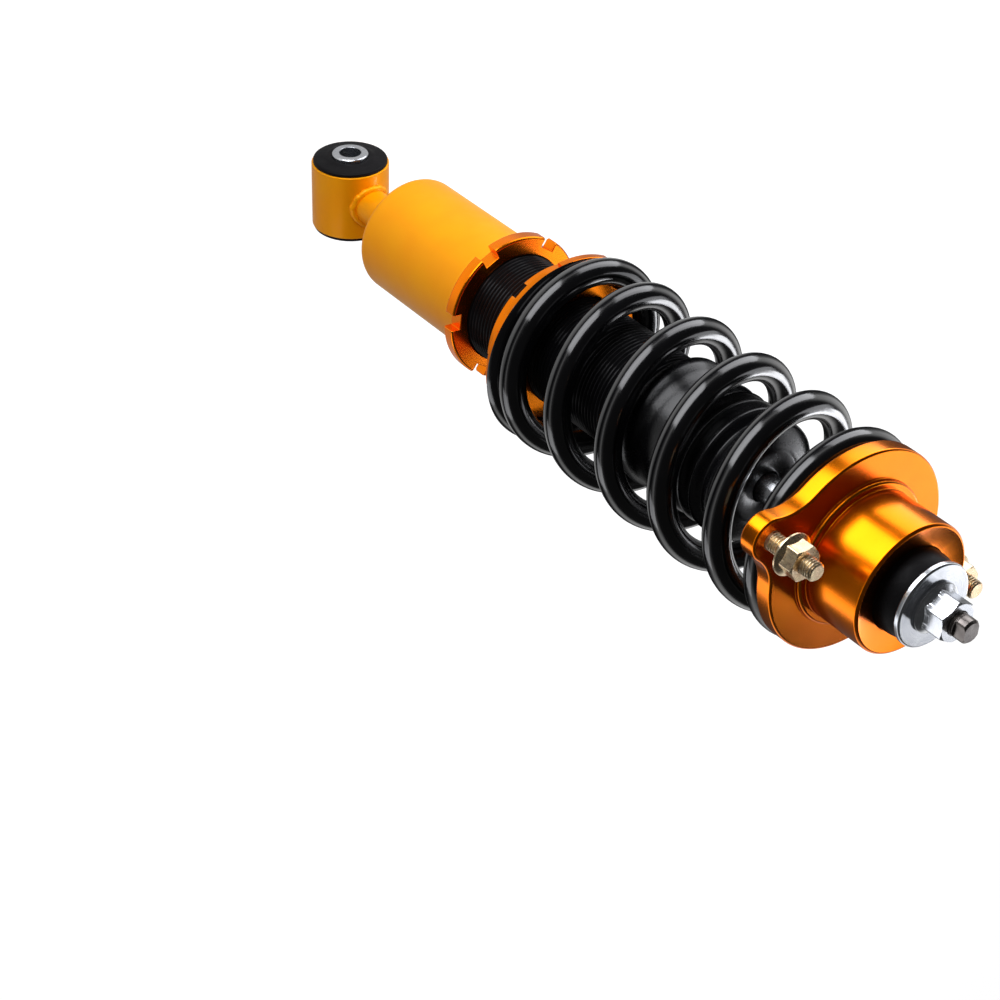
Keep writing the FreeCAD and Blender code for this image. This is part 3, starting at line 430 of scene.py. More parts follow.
# %% [markdown]
# ## Bare and plated steels
# Zinc plate is bright and slightly blue, its yellow chromate version is iridescent straw and pink,
# turned steel is greyer with visible tool marks, sintered steel is dull and porous, and the rod is
# hard chrome, ground and polished. All are full metals, so only their colour, roughness and marks
# differ. The marks are drawn a few times coarser than a real tool or wheel leaves them.

# %% Steels
for slot, name, dark, light, rough_low, rough_high, pitch_mm in (
        ("bright_zinc", "bright_zinc_plate", "#C8CBD0", "#DFE1E5", 0.2, 0.28, 0.3),
        ("plain_steel", "turned_mild_steel", "#A2A3A6", "#B9BABD", 0.24, 0.4, 0.5),
        ("sintered_steel", "sintered_iron", "#6E6E70", "#858588", 0.45, 0.6, 1.5),
        ("chrome_rod", "hard_chrome_ground", "#CBCDD1", "#D9DBDE", 0.14, 0.22, 0.2)):
    tree, shader = new_finish(slot, name, Metallic=1.0, Anisotropic=0.15)
    marks = lathe_marks(tree, pitch_mm)
    rough = add(tree, MAP_RANGE, [marks, *NOISE_SPAN, rough_low, rough_high])
    dress(tree, shader, two_tone(tree, 9, dark, light), rough,
          height=marks, depth_mm=0.001, wear=0.4, worn="#F0F0F0", turned=True)

tree, shader = new_finish("dark_steel", "oiled_dark_steel", Metallic=1.0)
dress(tree, shader, two_tone(tree, 3, "#6A6462", "#857F7B"), spots(tree, 1.5, 0.26, 0.44),
      height=spots(tree, 0.6, 0, 1), depth_mm=0.01, wear=0.5, worn="#A8A6A4")

tree, shader = new_finish("yellow_zinc", "yellow_chromate_zinc", Metallic=1.0)
straw = two_tone(tree, 3.5, "#F6E2BC", "#E6C798")
rainbow = two_tone(tree, 2.2, "#E9B9AC", "#D3CFAA")
colour = add(tree, "ShaderNodeMix", {0: spots(tree, 4.0, 0.05, 0.45), 6: straw, 7: rainbow},
             data_type="RGBA")
dress(tree, shader, colour, spots(tree, 1.2, 0.24, 0.34),
      height=spots(tree, 1.1, 0, 1), depth_mm=0.003)
print(len(FINISHES), "finishes")

# %% [markdown]
# ## Carrying a CAD shape over with softened edges
# A turned or milled piece already has the right shape in the CAD model, but its edges are perfectly
# sharp. A copy of the mesh is merged, its flat triangles are joined again into whole faces, and a
# bevel rounds each edge by a few tenths of a millimetre. The copy then stands for the node.

# %% Softened copies
SLOT_OF = {entry["node"]: entry["material_slot"] for entry in frame["record"]["subparts"]}
BODY_OF = {node: body for body, nodes in frame["record"]["behaviour"]["bodies"].items()
           for node in nodes}
MERGE_DISTANCE = 2e-6
FLAT_WITHIN_DEG = 0.6
BEVELLED_FROM_DEG = 32.0
BEVEL_SEGMENTS = 2
FLAT_FACE_WEIGHT = 80


def place_piece(piece, node, finish_name=None):
    """Puts the finish on a piece that stands for a CAD node and lets it ride on the node's body."""
    piece.data.materials.clear()
    piece.data.materials.append(FINISHES[finish_name or SLOT_OF[node]])
    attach(piece, BODY_OF[node])
    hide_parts(node)


def softened(node, width_mm):
    """A copy of a CAD node's mesh with merged vertices, under a bevel that rounds its edges."""
    mesh = frame["nodes"][node].data.copy()
    mesh.name = node + "_soft"
    work = bmesh.new()
    work.from_mesh(mesh)
    bmesh.ops.remove_doubles(work, verts=work.verts, dist=MERGE_DISTANCE)
    bmesh.ops.dissolve_limit(work, angle_limit=math.radians(FLAT_WITHIN_DEG), verts=work.verts,
                             edges=work.edges, use_dissolve_boundaries=False)
    for part in (*work.faces, *work.edges):
        part.smooth = True
    work.to_mesh(mesh)
    work.free()
    if "custom_normal" in mesh.attributes:
        mesh.attributes.remove(mesh.attributes["custom_normal"])
    piece = bpy.data.objects.new(node + "_soft", mesh)
    bpy.context.collection.objects.link(piece)
    bevel = piece.modifiers.new("edge", "BEVEL")
    bevel.width = width_mm * MM
    bevel.segments = BEVEL_SEGMENTS
    bevel.limit_method = "ANGLE"
    bevel.angle_limit = math.radians(BEVELLED_FROM_DEG)
    bevel.use_clamp_overlap = True
    weigh = piece.modifiers.new("flat_faces_stay_flat", "WEIGHTED_NORMAL")
    weigh.weight = FLAT_FACE_WEIGHT
    return piece


def smooth_except(mesh, sharp_deg):
    """Smooth shading, except at edges sharper than an angle."""
    for face in mesh.polygons:
        face.use_smooth = True
    mesh.set_sharp_from_angle(angle=math.radians(sharp_deg))


def as_plain_mesh(piece):
    """Applies every modifier on a piece and keeps the result as a plain mesh."""
    graph = bpy.context.evaluated_depsgraph_get()
    mesh = bpy.data.meshes.new_from_object(piece.evaluated_get(graph))
    mesh.name = piece.name
    old = piece.data
    piece.modifiers.clear()
    piece.data = mesh
    if old.users == 0:
        bpy.data.meshes.remove(old)
    return piece


# %% Metal pieces
# Each row: the CAD node and the width of its softened edges in millimetres.
METAL_EDGES = (
    ("eye_sleeve", 0.5), ("eye_crush_tube", 0.25), ("eye_stem", 0.3), ("lower_housing", 0.35),
    ("housing_lock_ring", 0.3), ("seat_lock_ring", 0.3), ("spring_seat", 0.3), ("top_mount", 0.35),
    ("lower_cup_washer", 0.3), ("top_washer", 0.25),
    ("damper_base_cap", 0.25), ("inner_tube", 0.2), ("base_valve", 0.2), ("piston", 0.2),
    ("valve_shims", 0.08), ("piston_nut", 0.25), ("rebound_stop", 0.3), ("rod_guide", 0.25),
    ("gland_nut", 0.3), ("mount_spacer", 0.2))
for node, width_mm in METAL_EDGES:
    piece = as_plain_mesh(softened(node, width_mm))
    place_piece(piece, node)
    print(node, len(piece.data.polygons), "faces")

# %% [markdown]
# ## Coil spring
# A coil spring is a round wire on a helix whose pitch changes: closed coils at both ends, eased
# into open ones between, and the ends ground flat. The shape follows a rule, so a Geometry Nodes
# tree makes it: a line of points is turned into angles, each angle gets its height from the pitch
# at the stations, and a circle is swept along.

# %% Helpers for Geometry Nodes
GROWN_SHARP_DEG = 40


def new_tree(name, numbers):
    """An empty Geometry Nodes tree with one number input for each name, and a material."""
    tree = bpy.data.node_groups.new(name, "GeometryNodeTree")
    tree.interface.new_socket("Geometry", in_out="INPUT", socket_type="NodeSocketGeometry")
    for key in numbers:
        tree.interface.new_socket(key, in_out="INPUT", socket_type="NodeSocketFloat")
    tree.interface.new_socket("Finish", in_out="INPUT", socket_type="NodeSocketMaterial")
    tree.interface.new_socket("Geometry", in_out="OUTPUT", socket_type="NodeSocketGeometry")
    return tree, add(tree, "NodeGroupInput").outputs


def close_tree(tree, geometry, given):
    """Every tree ends in Realize Instances and Set Material."""
    real = add(tree, "GeometryNodeRealizeInstances", [geometry])
    dressed = add(tree, "GeometryNodeSetMaterial", {0: real, "Material": given["Finish"]})
    add(tree, "NodeGroupOutput", [dressed])


def grown(name, tree, numbers, finish):
    """A piece made by a Geometry Nodes tree, as a plain mesh."""
    piece = bpy.data.objects.new(name, bpy.data.meshes.new(name))
    bpy.context.collection.objects.link(piece)
    modifier = piece.modifiers.new("grow", "NODES")
    modifier.node_group = tree
    for item in tree.interface.items_tree:
        if item.in_out == "INPUT" and item.name in numbers:
            modifier[item.identifier] = float(numbers[item.name])
        elif item.in_out == "INPUT" and item.name == "Finish":
            modifier[item.identifier] = finish
    as_plain_mesh(piece)
    smooth_except(piece.data, GROWN_SHARP_DEG)
    return piece


# %% Coil spring
SPRING = {"Wire Radius": 5.7, "Coil Radius": 38.3, "Start Height": 163.178,
          "Closed Pitch": 11.6, "Active Pitch": 32.94}
# Each station: the angle along the wire in degrees, and 0 for the closed pitch or 1 for the active.
STATIONS = ((-285, 0), (115, 0), (315, 1), (1790, 1), (1870, 0), (2200, 0))
GROUND_LOW, GROUND_HIGH = 168.15 * MM, 335.95 * MM
WIRE_STEP_DEG = 3
WIRE_SIDES = 36


def spring_tree():
    """A circle swept along a helix whose pitch is eased from one station to the next."""
    tree, given = new_tree("wire_on_a_helix", SPRING)
    start, span = STATIONS[0][0], STATIONS[-1][0] - STATIONS[0][0]
    line = add(tree, "GeometryNodeMeshLine",
               {"Count": int(span / WIRE_STEP_DEG) + 1, "Start Location": (0, 0, 0),
                "Offset": (1, 0, 0)}, mode="END_POINTS")
    share = add(tree, "ShaderNodeSeparateXYZ", [add(tree, "GeometryNodeInputPosition")]).outputs[0]
    angle = add(tree, MATH, [share, span, start], operation="MULTIPLY_ADD")
    extra = add(tree, MATH, [given["Active Pitch"], given["Closed Pitch"]], operation="SUBTRACT")
    height = given["Start Height"]
    for (low, low_share), (high, high_share) in zip(STATIONS, STATIONS[1:]):
        run = add(tree, MATH, [angle, low], operation="SUBTRACT")
        run = add(tree, MATH, [run, 0.0], operation="MAXIMUM")
        run = add(tree, MATH, [run, high - low], operation="MINIMUM")
        turns = add(tree, MATH, [run, 360.0], operation="DIVIDE")
        slope = (high_share - low_share) / (2 * (high - low))
        eased = add(tree, MATH, [run, slope, low_share], operation="MULTIPLY_ADD")
        pitch = add(tree, MATH, [extra, eased, given["Closed Pitch"]], operation="MULTIPLY_ADD")
        height = add(tree, MATH, [turns, pitch, height], operation="MULTIPLY_ADD")
    radians = add(tree, MATH, [angle], operation="RADIANS")
    x = add(tree, MATH, [radians], operation="COSINE")
    x = add(tree, MATH, [given["Coil Radius"], x], operation="MULTIPLY")
    y = add(tree, MATH, [radians], operation="SINE")
    y = add(tree, MATH, [given["Coil Radius"], y], operation="MULTIPLY")
    spot = add(tree, "ShaderNodeCombineXYZ", [x, y, height])
    spot = add(tree, VECTOR_MATH, {0: spot, "Scale": MM}, operation="SCALE")
    path = add(tree, "GeometryNodeSetPosition", {0: line, "Position": spot})
    path = add(tree, "GeometryNodeMeshToCurve", [path])
    wire_radius = add(tree, MATH, [given["Wire Radius"], MM], operation="MULTIPLY")
    ring = add(tree, "GeometryNodeCurvePrimitiveCircle",
               {"Resolution": WIRE_SIDES, "Radius": wire_radius})
    wire = add(tree, "GeometryNodeCurveToMesh",
               {"Curve": path, "Profile Curve": ring, "Fill Caps": True})
    close_tree(tree, wire, given)
    return tree


def ground_flat(piece, z, keep_above):
    """Cuts a piece off at a height and closes the cut with a flat face, as the grinder does."""
    work = bmesh.new()
    work.from_mesh(piece.data)
    geometry = work.verts[:] + work.edges[:] + work.faces[:]
    cut = bmesh.ops.bisect_plane(
        work, geom=geometry, dist=SAME_POINT, plane_co=(0, 0, z), plane_no=(0, 0, 1),
        clear_inner=keep_above, clear_outer=not keep_above)
    edges = [part for part in cut["geom_cut"] if isinstance(part, bmesh.types.BMEdge)]
    bmesh.ops.holes_fill(work, edges=edges, sides=0)
    bmesh.ops.recalc_face_normals(work, faces=work.faces)
    work.to_mesh(piece.data)
    work.free()


spring = grown("spring_wire", spring_tree(), SPRING, FINISHES["spring_black"])
ground_flat(spring, GROUND_LOW, True)
ground_flat(spring, GROUND_HIGH, False)
spring.data.set_sharp_from_angle(angle=math.radians(GROWN_SHARP_DEG))
place_piece(spring, "coil_spring")
print("spring", len(spring.data.polygons), "faces")

# %% [markdown]
# ## Turned soft pieces
# Rubber, foam and plastic parts come out of moulds, so they are bodies of revolution whose every
# corner is rounded. Each is an outline of radius and height in millimetres, its corners are rounded
# by the mould's radius, and the outline is then spun round its axis. The bush is spun round the
# bore of the eye instead.

# %% Outlines and how they are spun
ARC_STEPS = 4
EDGE_SHARE = 0.45
LEAST_ROUNDING_MM = 0.02
SPUN_SHARP_DEG = 50


def rounded(corners, radius):
    """The outline with each corner made a small arc; a third number is a corner's own radius."""
    count = len(corners)
    result = []
    for i, corner in enumerate(corners):
        here = Vector(corner[:2])
        before = Vector(corners[i - 1][:2]) - here
        after = Vector(corners[(i + 1) % count][:2]) - here
        reach = min(corner[2] if len(corner) > 2 else radius,
                    before.length * EDGE_SHARE, after.length * EDGE_SHARE)
        if reach < LEAST_ROUNDING_MM:
            result.append(tuple(here))
            continue
        first, last = here + before.normalized() * reach, here + after.normalized() * reach
        for step in range(ARC_STEPS + 1):
            t = step / ARC_STEPS
            result.append(tuple(first * (1 - t) ** 2 + here * 2 * t * (1 - t) + last * t ** 2))
    return result


def spun(name, outline, around=96, along_y=False):
    """A closed mesh from an outline of (radius, height) in mm, spun round Z, or Y for the eye."""
    verts, faces = [], []
    for r, z in outline:
        for i in range(around):
            a = math.tau * i / around
            x, y = r * math.cos(a) * MM, r * math.sin(a) * MM
            verts.append((x, z * MM, -y) if along_y else (x, y, z * MM))
    count = len(outline)
    for j in range(count):
        low, high = j * around, (j + 1) % count * around
        for i in range(around):
            after = (i + 1) % around
            faces.append((low + i, low + after, high + after, high + i))
    mesh = bpy.data.meshes.new(name)
    mesh.from_pydata(verts, [], faces)
    work = bmesh.new()
    work.from_mesh(mesh)
    bmesh.ops.remove_doubles(work, verts=work.verts, dist=SAME_POINT)
    bmesh.ops.recalc_face_normals(work, faces=work.faces)
    work.to_mesh(mesh)
    work.free()
    smooth_except(mesh, SPUN_SHARP_DEG)
    piece = bpy.data.objects.new(name, mesh)
    bpy.context.collection.objects.link(piece)
    return piece


# %% [markdown]
# ## Eye bush
# The rubber is bonded between the steel sleeve of the eye and the bright tube that takes the bolt.
# It bulges out of both ends as a thin lip, then slopes up to the tube, and a fine ring is left
# where the mould closed.

# %% Eye bush
half = [(8.5, 18.7, 0.3), (10.2, 18.75, 0.8), (12.2, 18.2, 0.5), (16.4, 17.7, 0.7),
        (17.3, 17.2, 0.45), (17.3, 15.8, 0.05), (15.0, 15.8, 0.05)]
other_half = [(r, -z, corner) for r, z, corner in reversed(half)]
bush = spun("bush_moulding", rounded(half + other_half, 0.5), along_y=True)
place_piece(bush, "eye_bush_rubber")
print("bush", len(bush.data.polygons), "faces")

# %% [markdown]
# ## Dust boot
# A rubber bellows keeps grit off the rod. Its wave of folds follows a rule, crest and root at a
# fixed pitch, so the outline is computed and then spun. The wall is thin and even: the inside
# follows the outside at the same distance.

# %% Dust boot
FOLDS, FOLD_STEPS = 4, 16
FOLD_PITCH, FOLD_BOTTOM = 7.0, 254.5
FOLD_ROOT_R, FOLD_DEPTH, FOLD_FULLNESS = 24.0, 3.7, 0.85
BOOT_WALL = 1.45
BOOT_LIP, BOOT_LIP_TOP = (27.5, 237.0), 237.4
BOOT_LEAST_R, BOOT_FOLDS_TOP = 22.6, 289
BOOT_ROOF_R, BOOT_ROOF_POINTS = 15.5, 6
BOOT_ROOF_INSIDE = [(6.8, 290.0), (14.0, 290.0)]


def boot_outside():
    """Outside of the boot from the lip up to the hole at the top."""
    points = [(29.0, 237.0), (29.05, 238.2), (28.9, 239.6), (28.2, 241.6), (27.0, 243.4),
              (25.9, 245.4), (25.5, 248.0), (25.0, 251.2), (24.3, 253.4)]
    for step in range(FOLDS * FOLD_STEPS + 1):
        z = FOLD_BOTTOM + step * FOLD_PITCH / FOLD_STEPS
        wave = 0.5 - 0.5 * math.cos(math.tau * (z - FOLD_BOTTOM) / FOLD_PITCH)
        points.append((FOLD_ROOT_R + FOLD_DEPTH * wave ** FOLD_FULLNESS, z))
    points += [(24.4, 283.6), (25.4, 285.0), (26.2, 286.6), (26.6, 288.0), (26.3, 289.2),
               (25.2, 289.9), (22.0, 290.9), (18.2, 291.9), (16.5, 292.3), (15.8, 292.9),
               (15.0, 293.0), (7.2, 293.0), (6.8, 292.6)]
    return points


def offset_inwards(points, distance):
    """The same line moved inwards by the wall's thickness."""
    moved = []
    for i, point in enumerate(points):
        ahead, behind = points[min(i + 1, len(points) - 1)], points[max(i - 1, 0)]
        along = Vector((ahead[0] - behind[0], ahead[1] - behind[1])).normalized()
        moved.append((point[0] - along.y * distance, point[1] + along.x * distance))
    return moved


# The inside stops where the roof gets thick, keeps a least radius below it, and starts at the lip.
outside = boot_outside()
inside = offset_inwards(outside[:-BOOT_ROOF_POINTS], BOOT_WALL)
inside = [(r, z) for r, z in inside if r > BOOT_ROOF_R]
inside = [(max(r, BOOT_LEAST_R), z) if z < BOOT_FOLDS_TOP else (r, z) for r, z in inside]
inside = [BOOT_LIP] + [(r, z) for r, z in inside[1:] if z > BOOT_LIP_TOP]
boot = spun("boot_moulding", outside + BOOT_ROOF_INSIDE + inside[::-1], around=128)
place_piece(boot, "dust_boot")
print("boot", len(boot.data.polygons), "faces")

# %% [markdown]
# ## Bump stop, seal, band and mount rubbers
# The foam bump stop has two round grooves that let it fold evenly. The two mount rubbers are
# squeezed between the washers and the web of the top mount, so their free walls bulge a little.

# %% Bump stop
FOAM_R, GROOVE_R, GROOVE_STEPS = 15.0, 3.2, 16

foam = [(6.6, 243.8), (14.6, 243.8), (FOAM_R, 244.3)]
for groove_z in (257.2, 270.6):
    for step in range(GROOVE_STEPS + 1):
        a = math.pi * step / GROOVE_STEPS
        foam.append((FOAM_R - GROOVE_R * math.sin(a), groove_z - GROOVE_R * math.cos(a)))
foam += [(FOAM_R, 276.0), (14.2, 277.6), (12.6, 280.2), (11.2, 282.8), (10.4, 283.9),
         (6.9, 284.0), (6.6, 283.7)]
bump = spun("bump_stop_moulding", foam)
place_piece(bump, "bump_stop")
print("bump stop", len(bump.data.polygons), "faces")

# %% Seal, band and mount rubbers
BULGE_R, BULGE_BOTTOM, BULGE_HEIGHT, BULGE_STEPS = 17.9, 373.1, 8.6, 9
BULGE_DEPTH, BULGE_FULLNESS = 1.5, 2.4

seal = [(6.3, 230.0), (22.2, 230.0), (22.2, 233.8), (18.5, 233.8), (17.6, 233.1), (9.2, 233.1),
        (7.9, 233.8), (7.2, 236.5), (6.3, 236.5)]
band = [(15.0, 190.0), (15.97, 190.0), (15.97, 196.0), (15.0, 196.0)]
lower_rubber = [(7.5, 334.0), (17.2, 334.0), (17.6, 335.5), (18.2, 337.2, 0.4), (20.6, 337.4),
                (22.2, 338.9, 1.2), (22.2, 352.0), (7.5, 352.0)]
upper_rubber = [(7.5, 352.0), (11.95, 352.0, 0.1), (11.95, 358.0, 0.1), (BULGE_R, 358.0, 0.1),
                (BULGE_R, BULGE_BOTTOM, 0.6)]
for step in range(1, BULGE_STEPS):
    t = step / BULGE_STEPS
    upper_rubber.append((BULGE_R - BULGE_DEPTH * t ** BULGE_FULLNESS,
                         BULGE_BOTTOM + BULGE_HEIGHT * t, 0.0))
upper_rubber += [(16.3, 382.0, 0.5), (7.5, 382.0, 0.1)]

# Each row: piece, CAD node, outline and the mould's corner radius in millimetres.
for name, node, outline, corner_mm in (
        ("seal_moulding", "oil_seal", seal, 0.35),
        ("band_moulding", "piston_band", band, 0.2),
        ("lower_rubber_moulding", "lower_mount_rubber", lower_rubber, 0.8),
        ("upper_rubber_moulding", "upper_mount_rubber", upper_rubber, 0.6)):
    piece = spun(name, rounded(outline, corner_mm))
    place_piece(piece, node)
    print(name, len(piece.data.polygons), "faces")

# %% [markdown]
# ## Weld bead
# The stem is joined to the eye by hand, and the bead is a row of overlapping puddles. A curve runs
# round the foot of the stem on the curved surface of the sleeve, and a circle whose size ripples is
# swept along it.

# %% Weld bead
BEAD = {"Sleeve Radius": 18.05, "Seam Radius": 8.7, "Bead Radius": 1.75, "Ripple": 0.24,
        "Puddles": 13.0}
BEAD_STEPS, BEAD_SIDES = 208, 20
WANDER_SCALE, WANDER_MM = 2.5, 2.2
THICKNESS_SPREAD, THICKNESS_LEAST = 2.0, 0.05


def bead_tree():
    """A rippling circle swept along a seam that lies on the sleeve and wanders a little."""
    tree, given = new_tree("bead_round_a_saddle", BEAD)
    ring = add(tree, "GeometryNodeCurvePrimitiveCircle", {"Resolution": BEAD_STEPS, "Radius": 1.0})
    position = add(tree, "GeometryNodeInputPosition")
    spot = add(tree, "ShaderNodeSeparateXYZ", [position]).outputs
    angle = add(tree, MATH, [spot[1], spot[0]], operation="ARCTAN2")
    wander = add(tree, "ShaderNodeTexNoise", {"Vector": position, "Scale": WANDER_SCALE})
    reach = add(tree, MATH, [wander, 0.5], operation="SUBTRACT")
    reach = add(tree, MATH, [reach, WANDER_MM, given["Seam Radius"]], operation="MULTIPLY_ADD")
    x = add(tree, MATH, [angle], operation="COSINE")
    x = add(tree, MATH, [reach, x], operation="MULTIPLY")
    y = add(tree, MATH, [angle], operation="SINE")
    y = add(tree, MATH, [reach, y], operation="MULTIPLY")
    x_squared = add(tree, MATH, [x, x], operation="MULTIPLY")
    rise = add(tree, MATH, [given["Sleeve Radius"], 2.0], operation="POWER")
    rise = add(tree, MATH, [rise, x_squared], operation="SUBTRACT")
    rise = add(tree, MATH, [rise], operation="SQRT")
    place = add(tree, "ShaderNodeCombineXYZ", [x, y, rise])
    place = add(tree, VECTOR_MATH, {0: place, "Scale": MM}, operation="SCALE")
    seam = add(tree, "GeometryNodeSetPosition", {0: ring, "Position": place})
    beat = add(tree, MATH, [angle, given["Puddles"]], operation="MULTIPLY")
    beat = add(tree, MATH, [beat], operation="SINE")
    thickness = add(tree, MATH, [wander, THICKNESS_SPREAD, THICKNESS_LEAST],
                    operation="MULTIPLY_ADD")
    swell = add(tree, MATH, [beat, given["Ripple"], thickness], operation="MULTIPLY_ADD")
    seam = add(tree, "GeometryNodeSetCurveRadius", {0: seam, "Radius": swell})
    bead_radius = add(tree, MATH, [given["Bead Radius"], MM], operation="MULTIPLY")
    section = add(tree, "GeometryNodeCurvePrimitiveCircle",
                  {"Resolution": BEAD_SIDES, "Radius": bead_radius})
    bead = add(tree, "GeometryNodeCurveToMesh", {"Curve": seam, "Profile Curve": section})
    close_tree(tree, bead, given)
    return tree


def outwards(piece):
    """Turns every face of a closed piece outwards."""
    work = bmesh.new()
    work.from_mesh(piece.data)
    bmesh.ops.dissolve_degenerate(work, edges=work.edges, dist=NO_LENGTH)
    bmesh.ops.recalc_face_normals(work, faces=work.faces)
    work.to_mesh(piece.data)
    work.free()
    return piece


bead = grown("weld_bead", bead_tree(), BEAD, FINISHES["gold_paint"])
place_piece(outwards(bead), "eye_weld")
print("bead", len(bead.data.polygons), "faces")

# %% [markdown]
# ## Threads
# The damper body, the studs and the rod's end all carry a thread, and only its size differs. One
# tree makes them: a grid is rolled into a tube, and the radius of each point comes from how far its
# height is from the helix. The thread fades out at both ends, as a cut thread does, ends are
# chamfered, and two flats can be milled on the tip.

# %% Threads
THREAD = ("Crest Radius", "Root Depth", "Pitch", "Bottom", "Top", "Thread Bottom", "Thread Top",
          "Bore Radius", "Chamfer", "Flat Half Width", "Flat Bottom", "X", "Y")
RIDGE_SPAN = (0.1, 0.82)


def thread_tree(name, around, rows, hollow):
    """A threaded tube or bar from a grid of around columns and rows heights."""
    tree, given = new_tree(name, THREAD)
    total = rows + (3 if hollow else 2)
    grid = add(tree, "GeometryNodeMeshGrid",
               {"Size X": float(around), "Size Y": float(total - 1),
                "Vertices X": around + 1, "Vertices Y": total})
    corner = add(tree, VECTOR_MATH, [add(tree, "GeometryNodeInputPosition"),
                                     (around / 2, (total - 1) / 2, 0)], operation="ADD")
    spot = add(tree, "ShaderNodeSeparateXYZ", [corner]).outputs
    row = add(tree, MATH, [spot[1]], operation="ROUND")
    turn = add(tree, MATH, [spot[0]], operation="ROUND")
    turn = add(tree, MATH, [turn, float(around)], operation="DIVIDE")

    # the height of each row, and how deep the groove is there: a triangle wave with flats
    share = add(tree, MATH, [row, 1.0], operation="SUBTRACT")
    share = add(tree, MATH, [share, float(rows - 1)], operation="DIVIDE")
    share = add(tree, "ShaderNodeClamp", [share])
    tall = add(tree, MATH, [given["Top"], given["Bottom"]], operation="SUBTRACT")
    height = add(tree, MATH, [share, tall, given["Bottom"]], operation="MULTIPLY_ADD")
    phase = add(tree, MATH, [height, given["Pitch"]], operation="DIVIDE")
    phase = add(tree, MATH, [phase, turn], operation="SUBTRACT")
    phase = add(tree, MATH, [phase], operation="FRACT")
    phase = add(tree, MATH, [phase, 2.0], operation="MULTIPLY")
    ridge = add(tree, MATH, [phase, 1.0], operation="PINGPONG")
    ridge = add(tree, MAP_RANGE, [ridge, *RIDGE_SPAN, 0.0, 1.0])

    # the thread fades in and out over one pitch
    start = add(tree, MATH, [height, given["Thread Bottom"]], operation="SUBTRACT")
    start = add(tree, MATH, [start, given["Pitch"]], operation="DIVIDE")
    end = add(tree, MATH, [given["Thread Top"], height], operation="SUBTRACT")
    end = add(tree, MATH, [end, given["Pitch"]], operation="DIVIDE")
    cut = add(tree, MATH, [start, end], operation="MINIMUM")
    cut = add(tree, "ShaderNodeClamp", [cut])
    level = add(tree, MATH, [ridge, 1.0], operation="SUBTRACT")
    level = add(tree, MATH, [level, cut, 1.0], operation="MULTIPLY_ADD")
    drop = add(tree, MATH, [1.0, level], operation="SUBTRACT")
    drop = add(tree, MATH, [given["Root Depth"], drop], operation="MULTIPLY")
    radius = add(tree, MATH, [given["Crest Radius"], drop], operation="SUBTRACT")

    # both ends are chamfered
    from_bottom = add(tree, MATH, [height, given["Bottom"]], operation="SUBTRACT")
    from_top = add(tree, MATH, [given["Top"], height], operation="SUBTRACT")
    from_end = add(tree, MATH, [from_bottom, from_top], operation="MINIMUM")
    cone = add(tree, MATH, [given["Crest Radius"], given["Chamfer"]], operation="SUBTRACT")
    cone = add(tree, MATH, [from_end, cone], operation="ADD")
    radius = add(tree, MATH, [radius, cone], operation="MINIMUM")

    # rows before and after the wall go in to the bore, and a last one runs back down it
    past_first = add(tree, MATH, [row, 0.5], operation="GREATER_THAN")
    before_last = add(tree, MATH, [row, rows + 0.5], operation="LESS_THAN")
    on_wall = add(tree, MATH, [past_first, before_last], operation="MULTIPLY")
    radius = add(tree, "ShaderNodeMix", {0: on_wall, 2: given["Bore Radius"], 3: radius})
    back_down = add(tree, MATH, [row, rows + 1.5], operation="GREATER_THAN")
    height = add(tree, "ShaderNodeMix", {0: back_down, 2: height, 3: given["Bottom"]})

    # two flats are milled on the tip
    radians = add(tree, MATH, [turn, math.tau], operation="MULTIPLY")
    across = add(tree, MATH, [radians], operation="COSINE")
    across = add(tree, MATH, [radius, across], operation="MULTIPLY")
    other_flat = add(tree, MATH, [given["Flat Half Width"], -1.0], operation="MULTIPLY")
    milled = add(tree, MATH, [across, given["Flat Half Width"]], operation="MINIMUM")
    milled = add(tree, MATH, [milled, other_flat], operation="MAXIMUM")
    on_tip = add(tree, MATH, [height, given["Flat Bottom"]], operation="GREATER_THAN")
    across = add(tree, "ShaderNodeMix", {0: on_tip, 2: across, 3: milled})
    x = add(tree, MATH, [across, given["X"]], operation="ADD")
    y = add(tree, MATH, [radians], operation="SINE")
    y = add(tree, MATH, [radius, y, given["Y"]], operation="MULTIPLY_ADD")
    place = add(tree, "ShaderNodeCombineXYZ", [x, y, height])
    place = add(tree, VECTOR_MATH, {0: place, "Scale": MM}, operation="SCALE")
    tube = add(tree, "GeometryNodeSetPosition", {0: grid, "Position": place})
    tube = add(tree, "GeometryNodeMergeByDistance", {0: tube, "Distance": MERGE_DISTANCE})
    close_tree(tree, tube, given)
    return tree


def thread_numbers(crest, depth, pitch, bottom, top, cut_from, cut_to,
                   bore=0.0, chamfer=0.5, x=0.0, y=0.0, flat=99.0, flat_from=9999.0):
    """A thread's sizes in mm for the tree's inputs; flat and flat_from start past any thread."""
    return dict(zip(THREAD, (crest, depth, pitch, bottom, top, cut_from, cut_to,
                             bore, chamfer, flat, flat_from, x, y)))


body_numbers = thread_numbers(25.0, 1.1, 2.0, 59.0, 240.0, 88.0, 238.0, bore=22.5)
body_tube = grown("damper_body_thread", thread_tree("body_thread", 96, 906, True),
                  body_numbers, FINISHES["black_body"])
place_piece(outwards(body_tube), "damper_tube")
print("damper body", len(body_tube.data.polygons), "faces")

# %% [markdown]
# ## Studs
# Each stud has a round head in the counterbore under the ear, a plain shank in its hole and a
# rolled M8 thread above, of 1.25 mm pitch. Both are made at their own place on the 101 mm circle.

